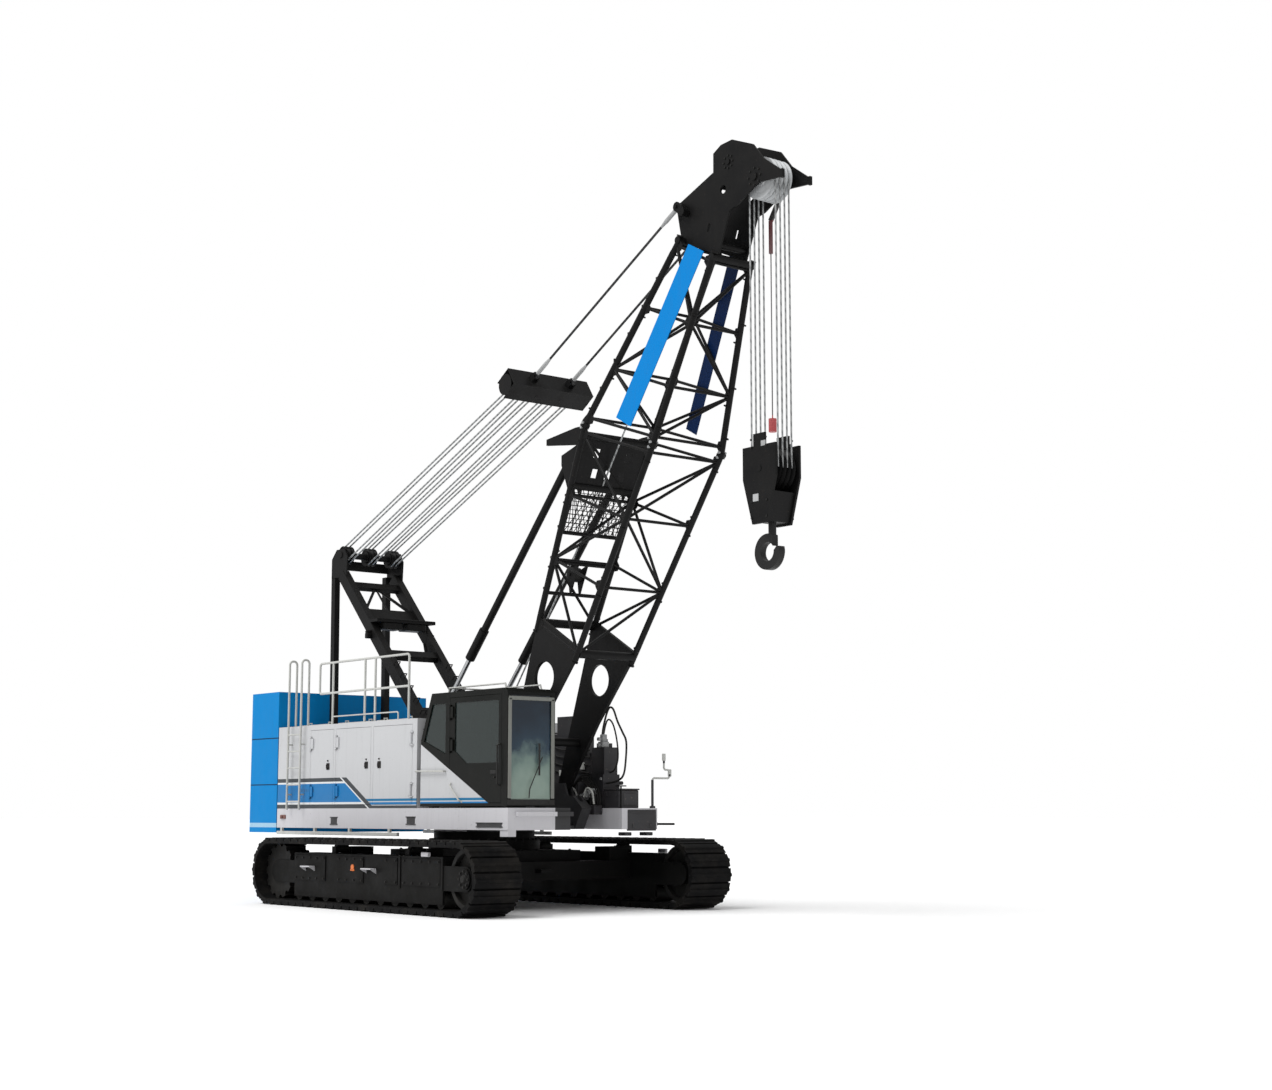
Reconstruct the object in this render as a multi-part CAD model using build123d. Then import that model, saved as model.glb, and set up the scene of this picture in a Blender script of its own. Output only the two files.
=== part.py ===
"""Crawler crane: tracks, slewing upper works, lattice boom, stays and hook block.

Millimetres. +X points the way the boom points, +Y to the crane's left, +Z up.
The origin is on the ground, on the slewing axis.
"""
from build123d import *
from math import atan2, cos, degrees, hypot, pi, radians, sin
import os

# ---------------------------------------------------------------- driving sizes
TRACK_LENGTH = 7000.0
TRACK_HEIGHT = 1154.0
TRACK_GAUGE = 4246.0
SHOE_WIDTH = 859.0
SHOE_COUNT = 60
SHOE_DEPTH = 80.0
LUG_HEIGHT = 22.0
WHEEL_GAP = 0.4
ROLLER_RADIUS = 125.0
ROLLER_COUNT = 11
ROLLER_SPAN = 4400.0
CARRIER_RADIUS = 70.0
CARRIER_PLACE = 1150.0
CARRIER_HALF = 110.0
TOOTH_COUNT = 13
TOOTH_GAP_RADIUS = 55.0
FRAME_HALF_WIDTH = 235.0
FRAME_BOTTOM = 390.0
FRAME_TOP = 900.0
FRAME_END_GAP = 120.0
FRAME_WALL = 40.0
HUB_RADIUS = 190.0

BEAM_PLACE = 1400.0
BEAM_WIDTH = 480.0
BEAM_BOTTOM = 480.0
BEAM_TOP = 780.0
CARBODY_HALF_WIDTH = 1000.0
CARBODY_TOP = 1050.0
TOW_REACH = 170.0
TOW_THICK = 60.0
TOW_RADIUS = 36.0
RING_RADIUS = 860.0
RING_TOP = 1270.0

DECK_BOTTOM = 1310.0
DECK_TOP = 1654.0
DECK_FRONT = 2970.0
LEFT_DECK_FRONT = 2700.0
LEFT_DECK_STEP = 1700.0
LEFT_DECK_INNER = 860.0
RIGHT_DECK_STEP = 2090.0
RIGHT_DECK_INNER = 400.0
DECK_REAR = -4360.0
DECK_PLATE = 20.0
HOUSE_HALF_WIDTH = 1611.0
HOUSE_TOP = 3136.0
HOUSE_FRONT = 350.0
HOUSE_INNER = 780.0
HOUSE_WALL = 40.0
DOOR_GAP = 6.0
GIRDER_INNER = 460.0
GIRDER_OUTER = 660.0
GIRDER_TOP = 1860.0
GIRDER_FRONT = 1950.0
NOSE_FRONT = 2150.0
INSIDE_CLEARANCE = 120.0

WEIGHT_FRONT = -4390.0
WEIGHT_REAR = -5460.0
WEIGHT_LEVELS = (1220.0, 2090.0, 2940.0, 3800.0)

CAB_FRONT = 2940.0
CAB_BACK = 470.0
CAB_FLOOR = 1680.0
CAB_ROOF = 3520.0
CAB_INNER = 690.0
CAB_WALL = 50.0
GLASS = 8.0
SEAL = 0.4

BOOM_FOOT_X = 1500.0
BOOM_FOOT_Z = 1950.0
BOOM_ANGLE = 60.8
BOOM_SPLIT = 6240.0
BOOM_TOP = 9270.0
FOOT_END = 2700.0
SPLIT_HALF_DEPTH = 875.0
SPLIT_HALF_WIDTH = 694.0
TOP_HALF_DEPTH = 450.0
TOP_HALF_WIDTH = 388.0
END_HALF_DEPTH = 590.0
END_HALF_WIDTH = 570.0
FOOT_HALF_WIDTH = 560.0
JOINT_SKEW = 165.0
CHORD_RADIUS = 50.0
LACE_RADIUS = 24.0
FOOT_PLATE = 60.0
PIN_RADIUS = 55.0
PIN_GAP = 0.4
SIDE_GAP = 6.0
FOOT_LUG = 45.0

HEAD_AXLE = (7280.0, 10930.0)
HEAD_HALF_WIDTH = 280.0
HEAD_PLATE = 30.0
SHEAVE_RADIUS = 320.0
ROPE_RADIUS = 13.0
ROPE_LINE = 280.0
SHEAVE_PITCH = 90.0
SHEAVE_WIDTH = 80.0
AXLE_RADIUS = 60.0
OVERHOIST_X = HEAD_AXLE[0] - 330.0
OVERHOIST_Y = HEAD_HALF_WIDTH + 55.0
OVERHOIST_HALF = 25.0
GUIDE_AXLE = (6700.0, 11310.0)
GUIDE_RADIUS = 230.0
STAY_PIN = (5640.0, 10850.0)

GANTRY_HALF = 560.0
GANTRY_LEG = 140.0
GANTRY_TOP = (-4140.0, 6230.0)
GANTRY_FOOT = (300.0, 1690.0)
GANTRY_REAR_FOOT = (-4180.0, 1860.0)
GANTRY_AXLE = (-3950.0, 6400.0)
GANTRY_SHEAVE = 170.0

BRIDLE_AXLE = (1670.0, 8680.0)
BRIDLE_CLEVIS = (1930.0, 8850.0)
BRIDLE_HALF = 830.0
BRIDLE_SHEAVE = 150.0
STAY_HALF = 380.0
STAY_RADIUS = 20.0

STOP_HALF = 550.0
STOP_HEAD = (3100.0, 7200.0)
STOP_EYE = (-600.0, 3190.0)
STOP_TUBE = 4110.0
STOP_TUBE_RADIUS = 62.0
STOP_BORE_RADIUS = 42.0
STOP_ROD_RADIUS = STOP_BORE_RADIUS - 0.4
STOP_ROD_LENGTH = 3250.0

BLOCK_X = HEAD_AXLE[0]
BLOCK_TOP = 6880.0
BLOCK_BOTTOM = 5730.0
BLOCK_AXLE_Z = 6540.0
HOOK_CENTRE_Z = 5340.0
HOOK_RADIUS = 265.0
HOOK_THROAT = 140.0
HOOK_THICK = 110.0

# ---------------------------------------------------------------- small helpers


def joined(pieces):
    """One shape fused from a list of pieces."""
    return Part() + list(pieces)


def apart(pieces):
    """A node of several solids that don't touch."""
    return Compound(children=[solid for piece in pieces for solid in piece.solids()])


def block(x0, x1, y0, y1, z0, z1):
    return Pos((x0 + x1) / 2, (y0 + y1) / 2, (z0 + z1) / 2) * Box(x1 - x0, y1 - y0, z1 - z0)


def mirrored(piece):
    """The same piece on the other side of the crane."""
    return mirror(piece, about=Plane.XZ)


def both_sides(pieces):
    return list(pieces) + [mirrored(piece) for piece in pieces]


def side_plate(points, y0, y1):
    """A plate cut to (x, z) points, from y0 to y1."""
    outline = make_face(Polyline(*[(x, y0, z) for x, z in points], close=True))
    return extrude(outline, amount=y1 - y0, dir=(0, 1, 0))


def rod(start, end, radius, bore=0.0):
    """A round bar or tube from start to end."""
    length = (Vector(*end) - Vector(*start)).length
    place = Plane(origin=start, z_dir=Vector(*end) - Vector(*start))
    bar = Cylinder(radius, length, align=(Align.CENTER, Align.CENTER, Align.MIN))
    if bore:
        bar -= Cylinder(bore, length, align=(Align.CENTER, Align.CENTER, Align.MIN))
    return place * bar


def cross_rod(axle, y0, y1, radius, bore=0.0):
    """A round bar or tube across the crane at an (x, z) axle."""
    return rod((axle[0], y0, axle[1]), (axle[0], y1, axle[1]), radius, bore)


def box_beam(start, end, y0, y1, depth):
    """A straight box beam in a side plane, from one (x, z) to another."""
    length = hypot(end[0] - start[0], end[1] - start[1])
    across_x = -(end[1] - start[1]) / length * depth / 2
    across_z = (end[0] - start[0]) / length * depth / 2
    corners = [
        (start[0] + across_x, start[1] + across_z),
        (end[0] + across_x, end[1] + across_z),
        (end[0] - across_x, end[1] - across_z),
        (start[0] - across_x, start[1] - across_z),
    ]
    return side_plate(corners, y0, y1)


def grooved(radius, rope_line, width, bore):
    """A sheave's ring about +Z with one rope groove, centred on z = 0."""
    half = width / 2
    floor = rope_line - ROPE_RADIUS
    web = width / 4
    hub = bore + 45.0
    rim = max(floor - 50.0, hub + 2.0)
    outline = [
        (bore, -half), (hub, -half), (hub, -web), (rim, -web), (radius, -half),
        (floor, -8.0), (floor, 8.0), (radius, half), (rim, web), (hub, web), (hub, half), (bore, half),
    ]
    section = make_face(Polyline(*[(r, 0, z) for r, z in outline], close=True))
    return revolve(section, Axis.Z)


def sheaves(axle, places, radius, rope_line, width, bore):
    """Grooved sheaves across the crane at one axle, joined by their hubs."""
    rings = [Pos(axle[0], y, axle[1]) * Rot(90, 0, 0) * grooved(radius, rope_line, width, bore) for y in places]
    hub = cross_rod(axle, min(places) - width / 2, max(places) + width / 2, bore + 45.0, bore)
    return joined(rings + [hub])


def write(name, shape):
    export_step(shape, f"parts/{name}.step")


# ---------------------------------------------------------------- tracks

TRACK_RADIUS = TRACK_HEIGHT / 2
PLATE_RADIUS = TRACK_RADIUS - LUG_HEIGHT
LOOP_RADIUS = PLATE_RADIUS - SHOE_DEPTH
TRACK_CENTRE_Z = TRACK_RADIUS
WHEEL_X = TRACK_LENGTH / 2 - TRACK_RADIUS
TRACK_Y = TRACK_GAUGE / 2
LOWER_RUN = TRACK_CENTRE_Z - LOOP_RADIUS
UPPER_RUN = TRACK_CENTRE_Z + LOOP_RADIUS


def loop_point(distance, offset):
    """An (x, z) point at a distance along the shoe plates' line, and this far outside it."""
    straight = 2 * WHEEL_X
    bend = pi * PLATE_RADIUS
    distance %= 2 * (straight + bend)
    if distance < straight:
        return (-WHEEL_X + distance, TRACK_CENTRE_Z - PLATE_RADIUS - offset)
    distance -= straight
    if distance < bend:
        angle = -pi / 2 + distance / PLATE_RADIUS
        reach = PLATE_RADIUS + offset
        return (WHEEL_X + reach * cos(angle), TRACK_CENTRE_Z + reach * sin(angle))
    distance -= bend
    if distance < straight:
        return (WHEEL_X - distance, TRACK_CENTRE_Z + PLATE_RADIUS + offset)
    angle = pi / 2 + (distance - straight) / PLATE_RADIUS
    reach = PLATE_RADIUS + offset
    return (-WHEEL_X + reach * cos(angle), TRACK_CENTRE_Z + reach * sin(angle))


# one shoe's outline: share of the pitch, height outside the plates' line
SHOE_OUTLINE = (
    (0.04, -45.0), (0.07, 0.0), (0.38, 0.0), (0.42, LUG_HEIGHT),
    (0.58, LUG_HEIGHT), (0.62, 0.0), (0.93, 0.0), (0.96, -45.0),
)


def race_track(radius, y0, y1):
    """A solid slot shape about the two end wheels."""
    ends = [cross_rod((x, TRACK_CENTRE_Z), y0, y1, radius) for x in (-WHEEL_X, WHEEL_X)]
    middle = block(-WHEEL_X, WHEEL_X, y0, y1, TRACK_CENTRE_Z - radius, TRACK_CENTRE_Z + radius)
    return joined(ends + [middle])


def track(side):
    """One crawler loop with its shoes and lugs in its outline."""
    pitch = (4 * WHEEL_X + 2 * pi * PLATE_RADIUS) / SHOE_COUNT
    points = [loop_point((shoe + share) * pitch, height) for shoe in range(SHOE_COUNT) for share, height in SHOE_OUTLINE]
    y0 = side * TRACK_Y - SHOE_WIDTH / 2
    y1 = side * TRACK_Y + SHOE_WIDTH / 2
    return side_plate(points, y0, y1) - race_track(LOOP_RADIUS, y0, y1)


def roller_places():
    return [-ROLLER_SPAN / 2 + i * ROLLER_SPAN / (ROLLER_COUNT - 1) for i in range(ROLLER_COUNT)]


ROLLER_Z = LOWER_RUN + ROLLER_RADIUS + WHEEL_GAP
CARRIER_Z = UPPER_RUN - CARRIER_RADIUS - WHEEL_GAP
WHEEL_RADIUS = LOOP_RADIUS - WHEEL_GAP
ROLLER_HALF = FRAME_HALF_WIDTH - FRAME_WALL - WHEEL_GAP
END_AXLE_RADIUS = 90.0
FRAME_REACH = WHEEL_X - WHEEL_RADIUS - FRAME_END_GAP


def idler():
    """The front wheel of a crawler, dished on both faces."""
    rim = cross_rod((WHEEL_X, TRACK_CENTRE_Z), -ROLLER_HALF, ROLLER_HALF, WHEEL_RADIUS, END_AXLE_RADIUS + WHEEL_GAP)
    for y0, y1 in ((-ROLLER_HALF, -ROLLER_HALF + 90.0), (ROLLER_HALF - 90.0, ROLLER_HALF)):
        rim -= cross_rod((WHEEL_X, TRACK_CENTRE_Z), y0, y1, WHEEL_RADIUS - 70.0, END_AXLE_RADIUS + 80.0)
    return rim


def sprocket():
    """The rear driving wheel of a crawler, scalloped between its teeth."""
    wheel = cross_rod((-WHEEL_X, TRACK_CENTRE_Z), -ROLLER_HALF, ROLLER_HALF, WHEEL_RADIUS, END_AXLE_RADIUS + WHEEL_GAP)
    gaps = []
    for tooth in range(TOOTH_COUNT):
        angle = 2 * pi * tooth / TOOTH_COUNT
        place = (-WHEEL_X + WHEEL_RADIUS * cos(angle), TRACK_CENTRE_Z + WHEEL_RADIUS * sin(angle))
        gaps.append(cross_rod(place, -ROLLER_HALF, ROLLER_HALF, TOOTH_GAP_RADIUS))
    return wheel - gaps


def track_wheels():
    """The idlers, sprockets, bottom rollers and carrier rollers of both crawlers."""
    wheels = []
    for side in (-1, 1):
        wheels += [Pos(0, side * TRACK_Y, 0) * idler(), Pos(0, side * TRACK_Y, 0) * sprocket()]
        for x in roller_places():
            wheels.append(cross_rod((x, ROLLER_Z), side * TRACK_Y - ROLLER_HALF, side * TRACK_Y + ROLLER_HALF,
                                    ROLLER_RADIUS))
        for x in (-CARRIER_PLACE, CARRIER_PLACE):
            wheels.append(cross_rod((x, CARRIER_Z), side * TRACK_Y - CARRIER_HALF, side * TRACK_Y + CARRIER_HALF,
                                    CARRIER_RADIUS))
    return apart(wheels)


# the cover panels on a crawler frame's outer face: centre and length, as shares of the frame's half length
COVER_PANELS = ((-0.762, 0.442), (-0.191, 0.356), (0.35, 0.167), (0.732, 0.468))
COVER_THICK = 16.0
COVER_RIBS = (0.459, 0.985)


def side_frame(side):
    """A crawler frame: box girder, roller cheeks, wheel forks, carrier posts and cover panels."""
    inner, outer = -FRAME_HALF_WIDTH, FRAME_HALF_WIDTH
    pieces = [block(-FRAME_REACH, FRAME_REACH, inner, outer, FRAME_BOTTOM, FRAME_TOP)]
    cheek_bottom = ROLLER_Z - 60.0
    cheek_reach = ROLLER_SPAN / 2 + 110.0
    for y0, y1 in ((inner, inner + FRAME_WALL), (outer - FRAME_WALL, outer)):
        pieces.append(block(-cheek_reach, cheek_reach, y0, y1, cheek_bottom, FRAME_BOTTOM))
        for end in (-1, 1):
            x0, x1 = sorted((end * (FRAME_REACH - 10.0), end * WHEEL_X))
            pieces.append(block(x0, x1, y0, y1, TRACK_CENTRE_Z - HUB_RADIUS, TRACK_CENTRE_Z + HUB_RADIUS))
            pieces.append(cross_rod((end * WHEEL_X, TRACK_CENTRE_Z), y0, y1, HUB_RADIUS))
    for end in (-1, 1):
        pieces.append(cross_rod((end * WHEEL_X, TRACK_CENTRE_Z), inner, outer, END_AXLE_RADIUS))
    for x in (-CARRIER_PLACE, CARRIER_PLACE):
        for y0 in (-CARRIER_HALF - WHEEL_GAP - FRAME_WALL, CARRIER_HALF + WHEEL_GAP):
            pieces.append(block(x - 60.0, x + 60.0, y0, y0 + FRAME_WALL, FRAME_TOP, CARRIER_Z + 35.0))
    face = outer if side > 0 else inner - COVER_THICK
    for place, length in COVER_PANELS:
        x, half = place * FRAME_REACH, length * FRAME_REACH / 2
        pieces.append(block(x - half, x + half, face, face + COVER_THICK, FRAME_BOTTOM + 50.0, FRAME_TOP - 40.0))
    for place in COVER_RIBS:
        x = place * FRAME_REACH
        pieces.append(block(x - 30.0, x + 30.0, face, face + COVER_THICK, FRAME_BOTTOM, FRAME_TOP))
    hub = outer if side > 0 else inner - 2 * COVER_THICK
    pieces.append(cross_rod((WHEEL_X, TRACK_CENTRE_Z), hub, hub + 2 * COVER_THICK, HUB_RADIUS - 30.0))
    # the final drive on the sprocket's inner side
    drive0, drive1 = (inner - 150.0, inner) if side > 0 else (outer, outer + 150.0)
    pieces.append(cross_rod((-WHEEL_X, TRACK_CENTRE_Z), drive0, drive1, 250.0))
    return Pos(0, side * TRACK_Y, 0) * joined(pieces)


# ---------------------------------------------------------------- carbody


def carbody():
    """The centre box, its two cross beams and the seats on the crawler frames."""
    reach = TRACK_Y - FRAME_HALF_WIDTH
    pieces = [block(-BEAM_PLACE, BEAM_PLACE, -CARBODY_HALF_WIDTH, CARBODY_HALF_WIDTH, BEAM_BOTTOM, CARBODY_TOP - 90.0)]
    for end in (-1, 1):
        x0, x1 = end * BEAM_PLACE - BEAM_WIDTH / 2, end * BEAM_PLACE + BEAM_WIDTH / 2
        pieces.append(block(x0, x1, -reach, reach, BEAM_BOTTOM, BEAM_TOP))
        for side in (-1, 1):
            y0, y1 = sorted((side * (reach - 420.0), side * reach))
            pieces.append(block(x0 + 40.0, x1 - 40.0, y0, y1, BEAM_TOP, FRAME_TOP + 110.0))
    pieces.append(Pos(0, 0, CARBODY_TOP - 90.0) * Cylinder(RING_RADIUS + 90.0, 90.0 + 70.0,
                                                           align=(Align.CENTER, Align.CENTER, Align.MIN)))
    nose = BEAM_PLACE + BEAM_WIDTH / 2
    middle = (BEAM_BOTTOM + BEAM_TOP) / 2
    eye = block(nose, nose + TOW_REACH, -110.0, 110.0, middle - TOW_THICK / 2, middle + TOW_THICK / 2)
    eye_x = nose + TOW_REACH - 85.0
    eye -= rod((eye_x, 0, middle - TOW_THICK), (eye_x, 0, middle + TOW_THICK), TOW_RADIUS)
    pieces.append(eye)
    return joined(pieces)


def slew_ring():
    """The ring gear that the upper works turn on."""
    base = CARBODY_TOP + 70.0
    return Pos(0, 0, base) * Cylinder(RING_RADIUS, RING_TOP - base, align=(Align.CENTER, Align.CENTER, Align.MIN))


# ---------------------------------------------------------------- upper frame


def foot_lug_spans():
    """The y spans of the two lugs beside each boom foot plate, on the left side."""
    inner = FOOT_HALF_WIDTH - FOOT_PLATE / 2 - SIDE_GAP
    outer = FOOT_HALF_WIDTH + FOOT_PLATE / 2 + SIDE_GAP
    return ((inner - FOOT_LUG, inner), (outer, outer + FOOT_LUG))


def deck_tray(y0, y1, x0, x1):
    """A side deck: a top plate with skirts and cross ribs, open below."""
    tray = block(x0, x1, y0, y1, DECK_BOTTOM, DECK_TOP)
    rib_count = max(1, round((x1 - x0) / 1050.0))
    cell = (x1 - x0 - DECK_PLATE) / rib_count
    for rib in range(rib_count):
        start = x0 + DECK_PLATE + rib * cell
        tray -= block(start, start + cell - DECK_PLATE, y0 + DECK_PLATE, y1 - DECK_PLATE,
                      DECK_BOTTOM - 1.0, DECK_TOP - DECK_PLATE)
    return tray


# the side decks: inner y, outer y, rear x, front x
DECKS = (
    (-HOUSE_HALF_WIDTH, -GIRDER_OUTER, DECK_REAR, DECK_FRONT),
    (-GIRDER_OUTER - DECK_PLATE, -RIGHT_DECK_INNER, RIGHT_DECK_STEP, DECK_FRONT),
    (GIRDER_OUTER, HOUSE_HALF_WIDTH, DECK_REAR, LEFT_DECK_STEP),
    (LEFT_DECK_INNER, HOUSE_HALF_WIDTH, LEFT_DECK_STEP - DECK_PLATE, LEFT_DECK_FRONT),
)


def upper_frame():
    """The turntable: two girders, bottom plate, decks, boom foot lugs and pins, and the front step."""
    pieces = [
        Pos(0, 0, RING_TOP + WHEEL_GAP) * Cylinder(RING_RADIUS, DECK_BOTTOM - RING_TOP - WHEEL_GAP,
                                                   align=(Align.CENTER, Align.CENTER, Align.MIN)),
        block(WEIGHT_FRONT, GIRDER_FRONT, -GIRDER_OUTER, GIRDER_OUTER, DECK_BOTTOM, DECK_BOTTOM + 60.0),
    ]
    pieces += [deck_tray(*deck) for deck in DECKS]
    girder = [(WEIGHT_FRONT, DECK_BOTTOM), (GIRDER_FRONT, DECK_BOTTOM), (NOSE_FRONT, DECK_TOP),
              (GIRDER_FRONT - 50.0, GIRDER_TOP), (WEIGHT_FRONT, GIRDER_TOP)]
    foot = [(BOOM_FOOT_X - 330.0, GIRDER_TOP - 300.0), (BOOM_FOOT_X + 330.0, GIRDER_TOP - 300.0),
            (BOOM_FOOT_X + 120.0, BOOM_FOOT_Z + 120.0), (BOOM_FOOT_X - 120.0, BOOM_FOOT_Z + 120.0)]
    pieces += both_sides([side_plate(girder, GIRDER_INNER, GIRDER_OUTER)])
    for y0, y1 in foot_lug_spans():
        pieces += both_sides([side_plate(foot, y0, y1)])
    # the front step: a bar across the right deck's front, and a tread under its corner
    pieces.append(block(DECK_FRONT, DECK_FRONT + 60.0, -1470.0, -RIGHT_DECK_INNER + 20.0, DECK_TOP - 130.0,
                        DECK_TOP - 60.0))
    pieces.append(block(DECK_FRONT - 220.0, DECK_FRONT - 5.0, -HOUSE_HALF_WIDTH + 10.0, -HOUSE_HALF_WIDTH + 160.0,
                        DECK_BOTTOM - 100.0, DECK_BOTTOM))
    slot = block(BOOM_FOOT_X - 420.0, GIRDER_FRONT + 60.0, FOOT_HALF_WIDTH - FOOT_PLATE / 2 - SIDE_GAP,
                 FOOT_HALF_WIDTH + FOOT_PLATE / 2 + SIDE_GAP, BOOM_FOOT_Z - 330.0, GIRDER_TOP + 1.0)
    pin = cross_rod((BOOM_FOOT_X, BOOM_FOOT_Z), foot_lug_spans()[0][0], foot_lug_spans()[1][1], PIN_RADIUS)
    return joined([joined(pieces) - both_sides([slot])] + both_sides([pin]))


def counterweight(level):
    """One slab of the counterweight, with side pockets for lifting."""
    bottom, top = WEIGHT_LEVELS[level], WEIGHT_LEVELS[level + 1]
    slab = block(WEIGHT_REAR, WEIGHT_FRONT, -HOUSE_HALF_WIDTH, HOUSE_HALF_WIDTH, bottom, top)
    upright = [edge for edge in slab.edges().filter_by(Axis.Z) if edge.center().X < WEIGHT_FRONT - 10.0]
    return fillet(upright, 60.0)


# ---------------------------------------------------------------- house and its doors

# door bays of one side: word, rear end, front end, hinge end (-1 rear, 1 front)
DOOR_BAYS = (("rear", -3180.0, -2370.0, -1), ("middle", -2290.0, -1110.0, -1), ("front", -1030.0, 210.0, 1))
DOOR_BOTTOM = DECK_TOP + 60.0
DOOR_TOP = HOUSE_TOP - 90.0
KNUCKLE_RADIUS = 22.0
HINGE_PIN_RADIUS = 11.0
HINGE_OUT = 14.0
HINGE_IN = 28.0
EAR = 30.0


def knuckle_levels(bottom, top):
    return [(bottom + 150.0, bottom + 330.0), (top - 330.0, top - 150.0)]


def across(x, reach, y0, y1, z0, z1):
    """A block from x, reaching this far towards +x or -x."""
    x0, x1 = sorted((x, x + reach))
    return block(x0, x1, y0, y1, z0, z1)


def hinge_pins(x, y, bottom, top, way):
    """Fixed pins with a bracket ear above and below each knuckle; way is the leaf's side of the pin."""
    pieces = []
    for z0, z1 in knuckle_levels(bottom, top):
        pieces.append(rod((x, y, z0 - EAR), (x, y, z1 + EAR), HINGE_PIN_RADIUS))
        for low in (z0 - EAR, z1 + SIDE_GAP):
            pieces.append(across(x, -way * 60.0, y - 10.0, y + 26.0, low, low + EAR - SIDE_GAP))
            pieces.append(rod((x, y, low), (x, y, low + EAR - SIDE_GAP), KNUCKLE_RADIUS))
    return pieces


def knuckles(x, y, bottom, top, way):
    """The door's own knuckles round the fixed pins."""
    pieces = []
    for z0, z1 in knuckle_levels(bottom, top):
        tube = rod((x, y, z0), (x, y, z1), KNUCKLE_RADIUS)
        strap = across(x, way * 90.0, y - 10.0, y + 26.0, z0, z1)
        pieces.append(tube + strap - rod((x, y, z0), (x, y, z1), HINGE_PIN_RADIUS + PIN_GAP))
    return pieces


def hinge_cuts(x, y, bottom, top, way):
    """What a leaf leaves free for the ears and pins of its hinge."""
    cuts = []
    for z0, z1 in knuckle_levels(bottom, top):
        for low in (z0 - EAR - DOOR_GAP, z1):
            cuts.append(across(x - way * 60.0, way * (60.0 + KNUCKLE_RADIUS + DOOR_GAP), y - 30.0, y + 40.0,
                               low, low + EAR + DOOR_GAP))
        cuts.append(rod((x, y, z0 - EAR - 10.0), (x, y, z1 + EAR + 10.0), HINGE_PIN_RADIUS + PIN_GAP))
    return cuts


def hinge_line(rear, front, end):
    """The door hinge line's x and y on the right side."""
    x = rear + HINGE_IN if end < 0 else front - HINGE_IN
    return x, -HOUSE_HALF_WIDTH - HINGE_OUT


def house_right():
    """The right machinery house: a hollow shell with three door openings."""
    shell = block(DECK_REAR, HOUSE_FRONT, -HOUSE_HALF_WIDTH, -HOUSE_INNER, DECK_TOP, HOUSE_TOP)
    shell -= block(DECK_REAR + HOUSE_WALL, HOUSE_FRONT - HOUSE_WALL, -HOUSE_HALF_WIDTH + HOUSE_WALL,
                   -HOUSE_INNER - HOUSE_WALL, DECK_TOP - 1.0, HOUSE_TOP - HOUSE_WALL)
    ears = []
    for word, rear, front, end in DOOR_BAYS:
        shell -= block(rear, front, -HOUSE_HALF_WIDTH - 1.0, -HOUSE_HALF_WIDTH + HOUSE_WALL + 1.0,
                       DOOR_BOTTOM, DOOR_TOP)
        x, y = hinge_line(rear, front, end)
        ears += hinge_pins(x, y, DOOR_BOTTOM, DOOR_TOP, -end)
    return joined([shell] + ears)


def house_door(rear, front, end):
    x, y = hinge_line(rear, front, end)
    leaf = block(rear + DOOR_GAP, front - DOOR_GAP, -HOUSE_HALF_WIDTH, -HOUSE_HALF_WIDTH + HOUSE_WALL,
                 DOOR_BOTTOM + DOOR_GAP, DOOR_TOP - DOOR_GAP)
    leaf -= hinge_cuts(x, y, DOOR_BOTTOM, DOOR_TOP, -end)
    return joined([leaf] + knuckles(x, y, DOOR_BOTTOM, DOOR_TOP, -end))


def engine():
    """The engine and pumps, closed in by the right house."""
    return block(DECK_REAR + 460.0, DECK_REAR + 2860.0, -HOUSE_HALF_WIDTH + HOUSE_WALL + INSIDE_CLEARANCE,
                 -HOUSE_INNER - HOUSE_WALL - INSIDE_CLEARANCE / 2, DECK_TOP, HOUSE_TOP - HOUSE_WALL - 350.0)


def tanks():
    """Fuel and oil tanks, closed in by the left house."""
    return block(DECK_REAR + 760.0, DECK_REAR + 3060.0, HOUSE_INNER + HOUSE_WALL + INSIDE_CLEARANCE,
                 HOUSE_HALF_WIDTH - HOUSE_WALL - INSIDE_CLEARANCE, DECK_TOP, HOUSE_TOP - HOUSE_WALL - 600.0)


# the cabinets, coolers and valve banks in front of the left house: rear x, front x, inner y, outer y, bottom, top,
# from the house's front, from the deck's inner edge and from the deck
FRONT_UNITS = (
    (150.0, 1800.0, 40.0, 390.0, 0.0, 560.0),
    (270.0, 1450.0, 50.0, 370.0, 560.0, 860.0),
    (1450.0, 1790.0, 70.0, 350.0, 560.0, 1010.0),
    (300.0, 1150.0, 60.0, 350.0, 860.0, 1260.0),
    (450.0, 950.0, 90.0, 320.0, 1260.0, 1560.0),
)
VALVE_COUNT = 5
VALVE_SIZE = 70.0
VALVE_PITCH = 125.0


def front_machinery():
    """The stepped cabinets on the left deck, with a bank of valves and two pipes."""
    base_x, base_y = HOUSE_FRONT, LEFT_DECK_INNER
    pieces = [block(base_x + x0, base_x + x1, base_y + y0, base_y + y1, DECK_TOP + z0, DECK_TOP + z1)
              for x0, x1, y0, y1, z0, z1 in FRONT_UNITS]
    for i in range(VALVE_COUNT):
        x = base_x + 1180.0 + i * VALVE_PITCH
        top = DECK_TOP + (860.0 if x < base_x + 1450.0 else 1010.0)
        pieces.append(block(x - VALVE_SIZE / 2, x + VALVE_SIZE / 2, base_y + 120.0, base_y + 300.0, top,
                            top + VALVE_SIZE))
        pieces.append(rod((x, base_y + 210.0, top), (x, base_y + 210.0, top + 2 * VALVE_SIZE), VALVE_SIZE / 4))
    for y in (base_y + 420.0, base_y + 520.0):
        pieces.append(rod((base_x + 260.0, y, DECK_TOP + 420.0), (base_x + 1700.0, y, DECK_TOP + 420.0), 32.0))
        for x in (base_x + 400.0, base_x + 1500.0):
            pieces.append(rod((x, y, DECK_TOP), (x, y, DECK_TOP + 420.0), 32.0))
    return joined(pieces)


# ---------------------------------------------------------------- cab

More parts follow.
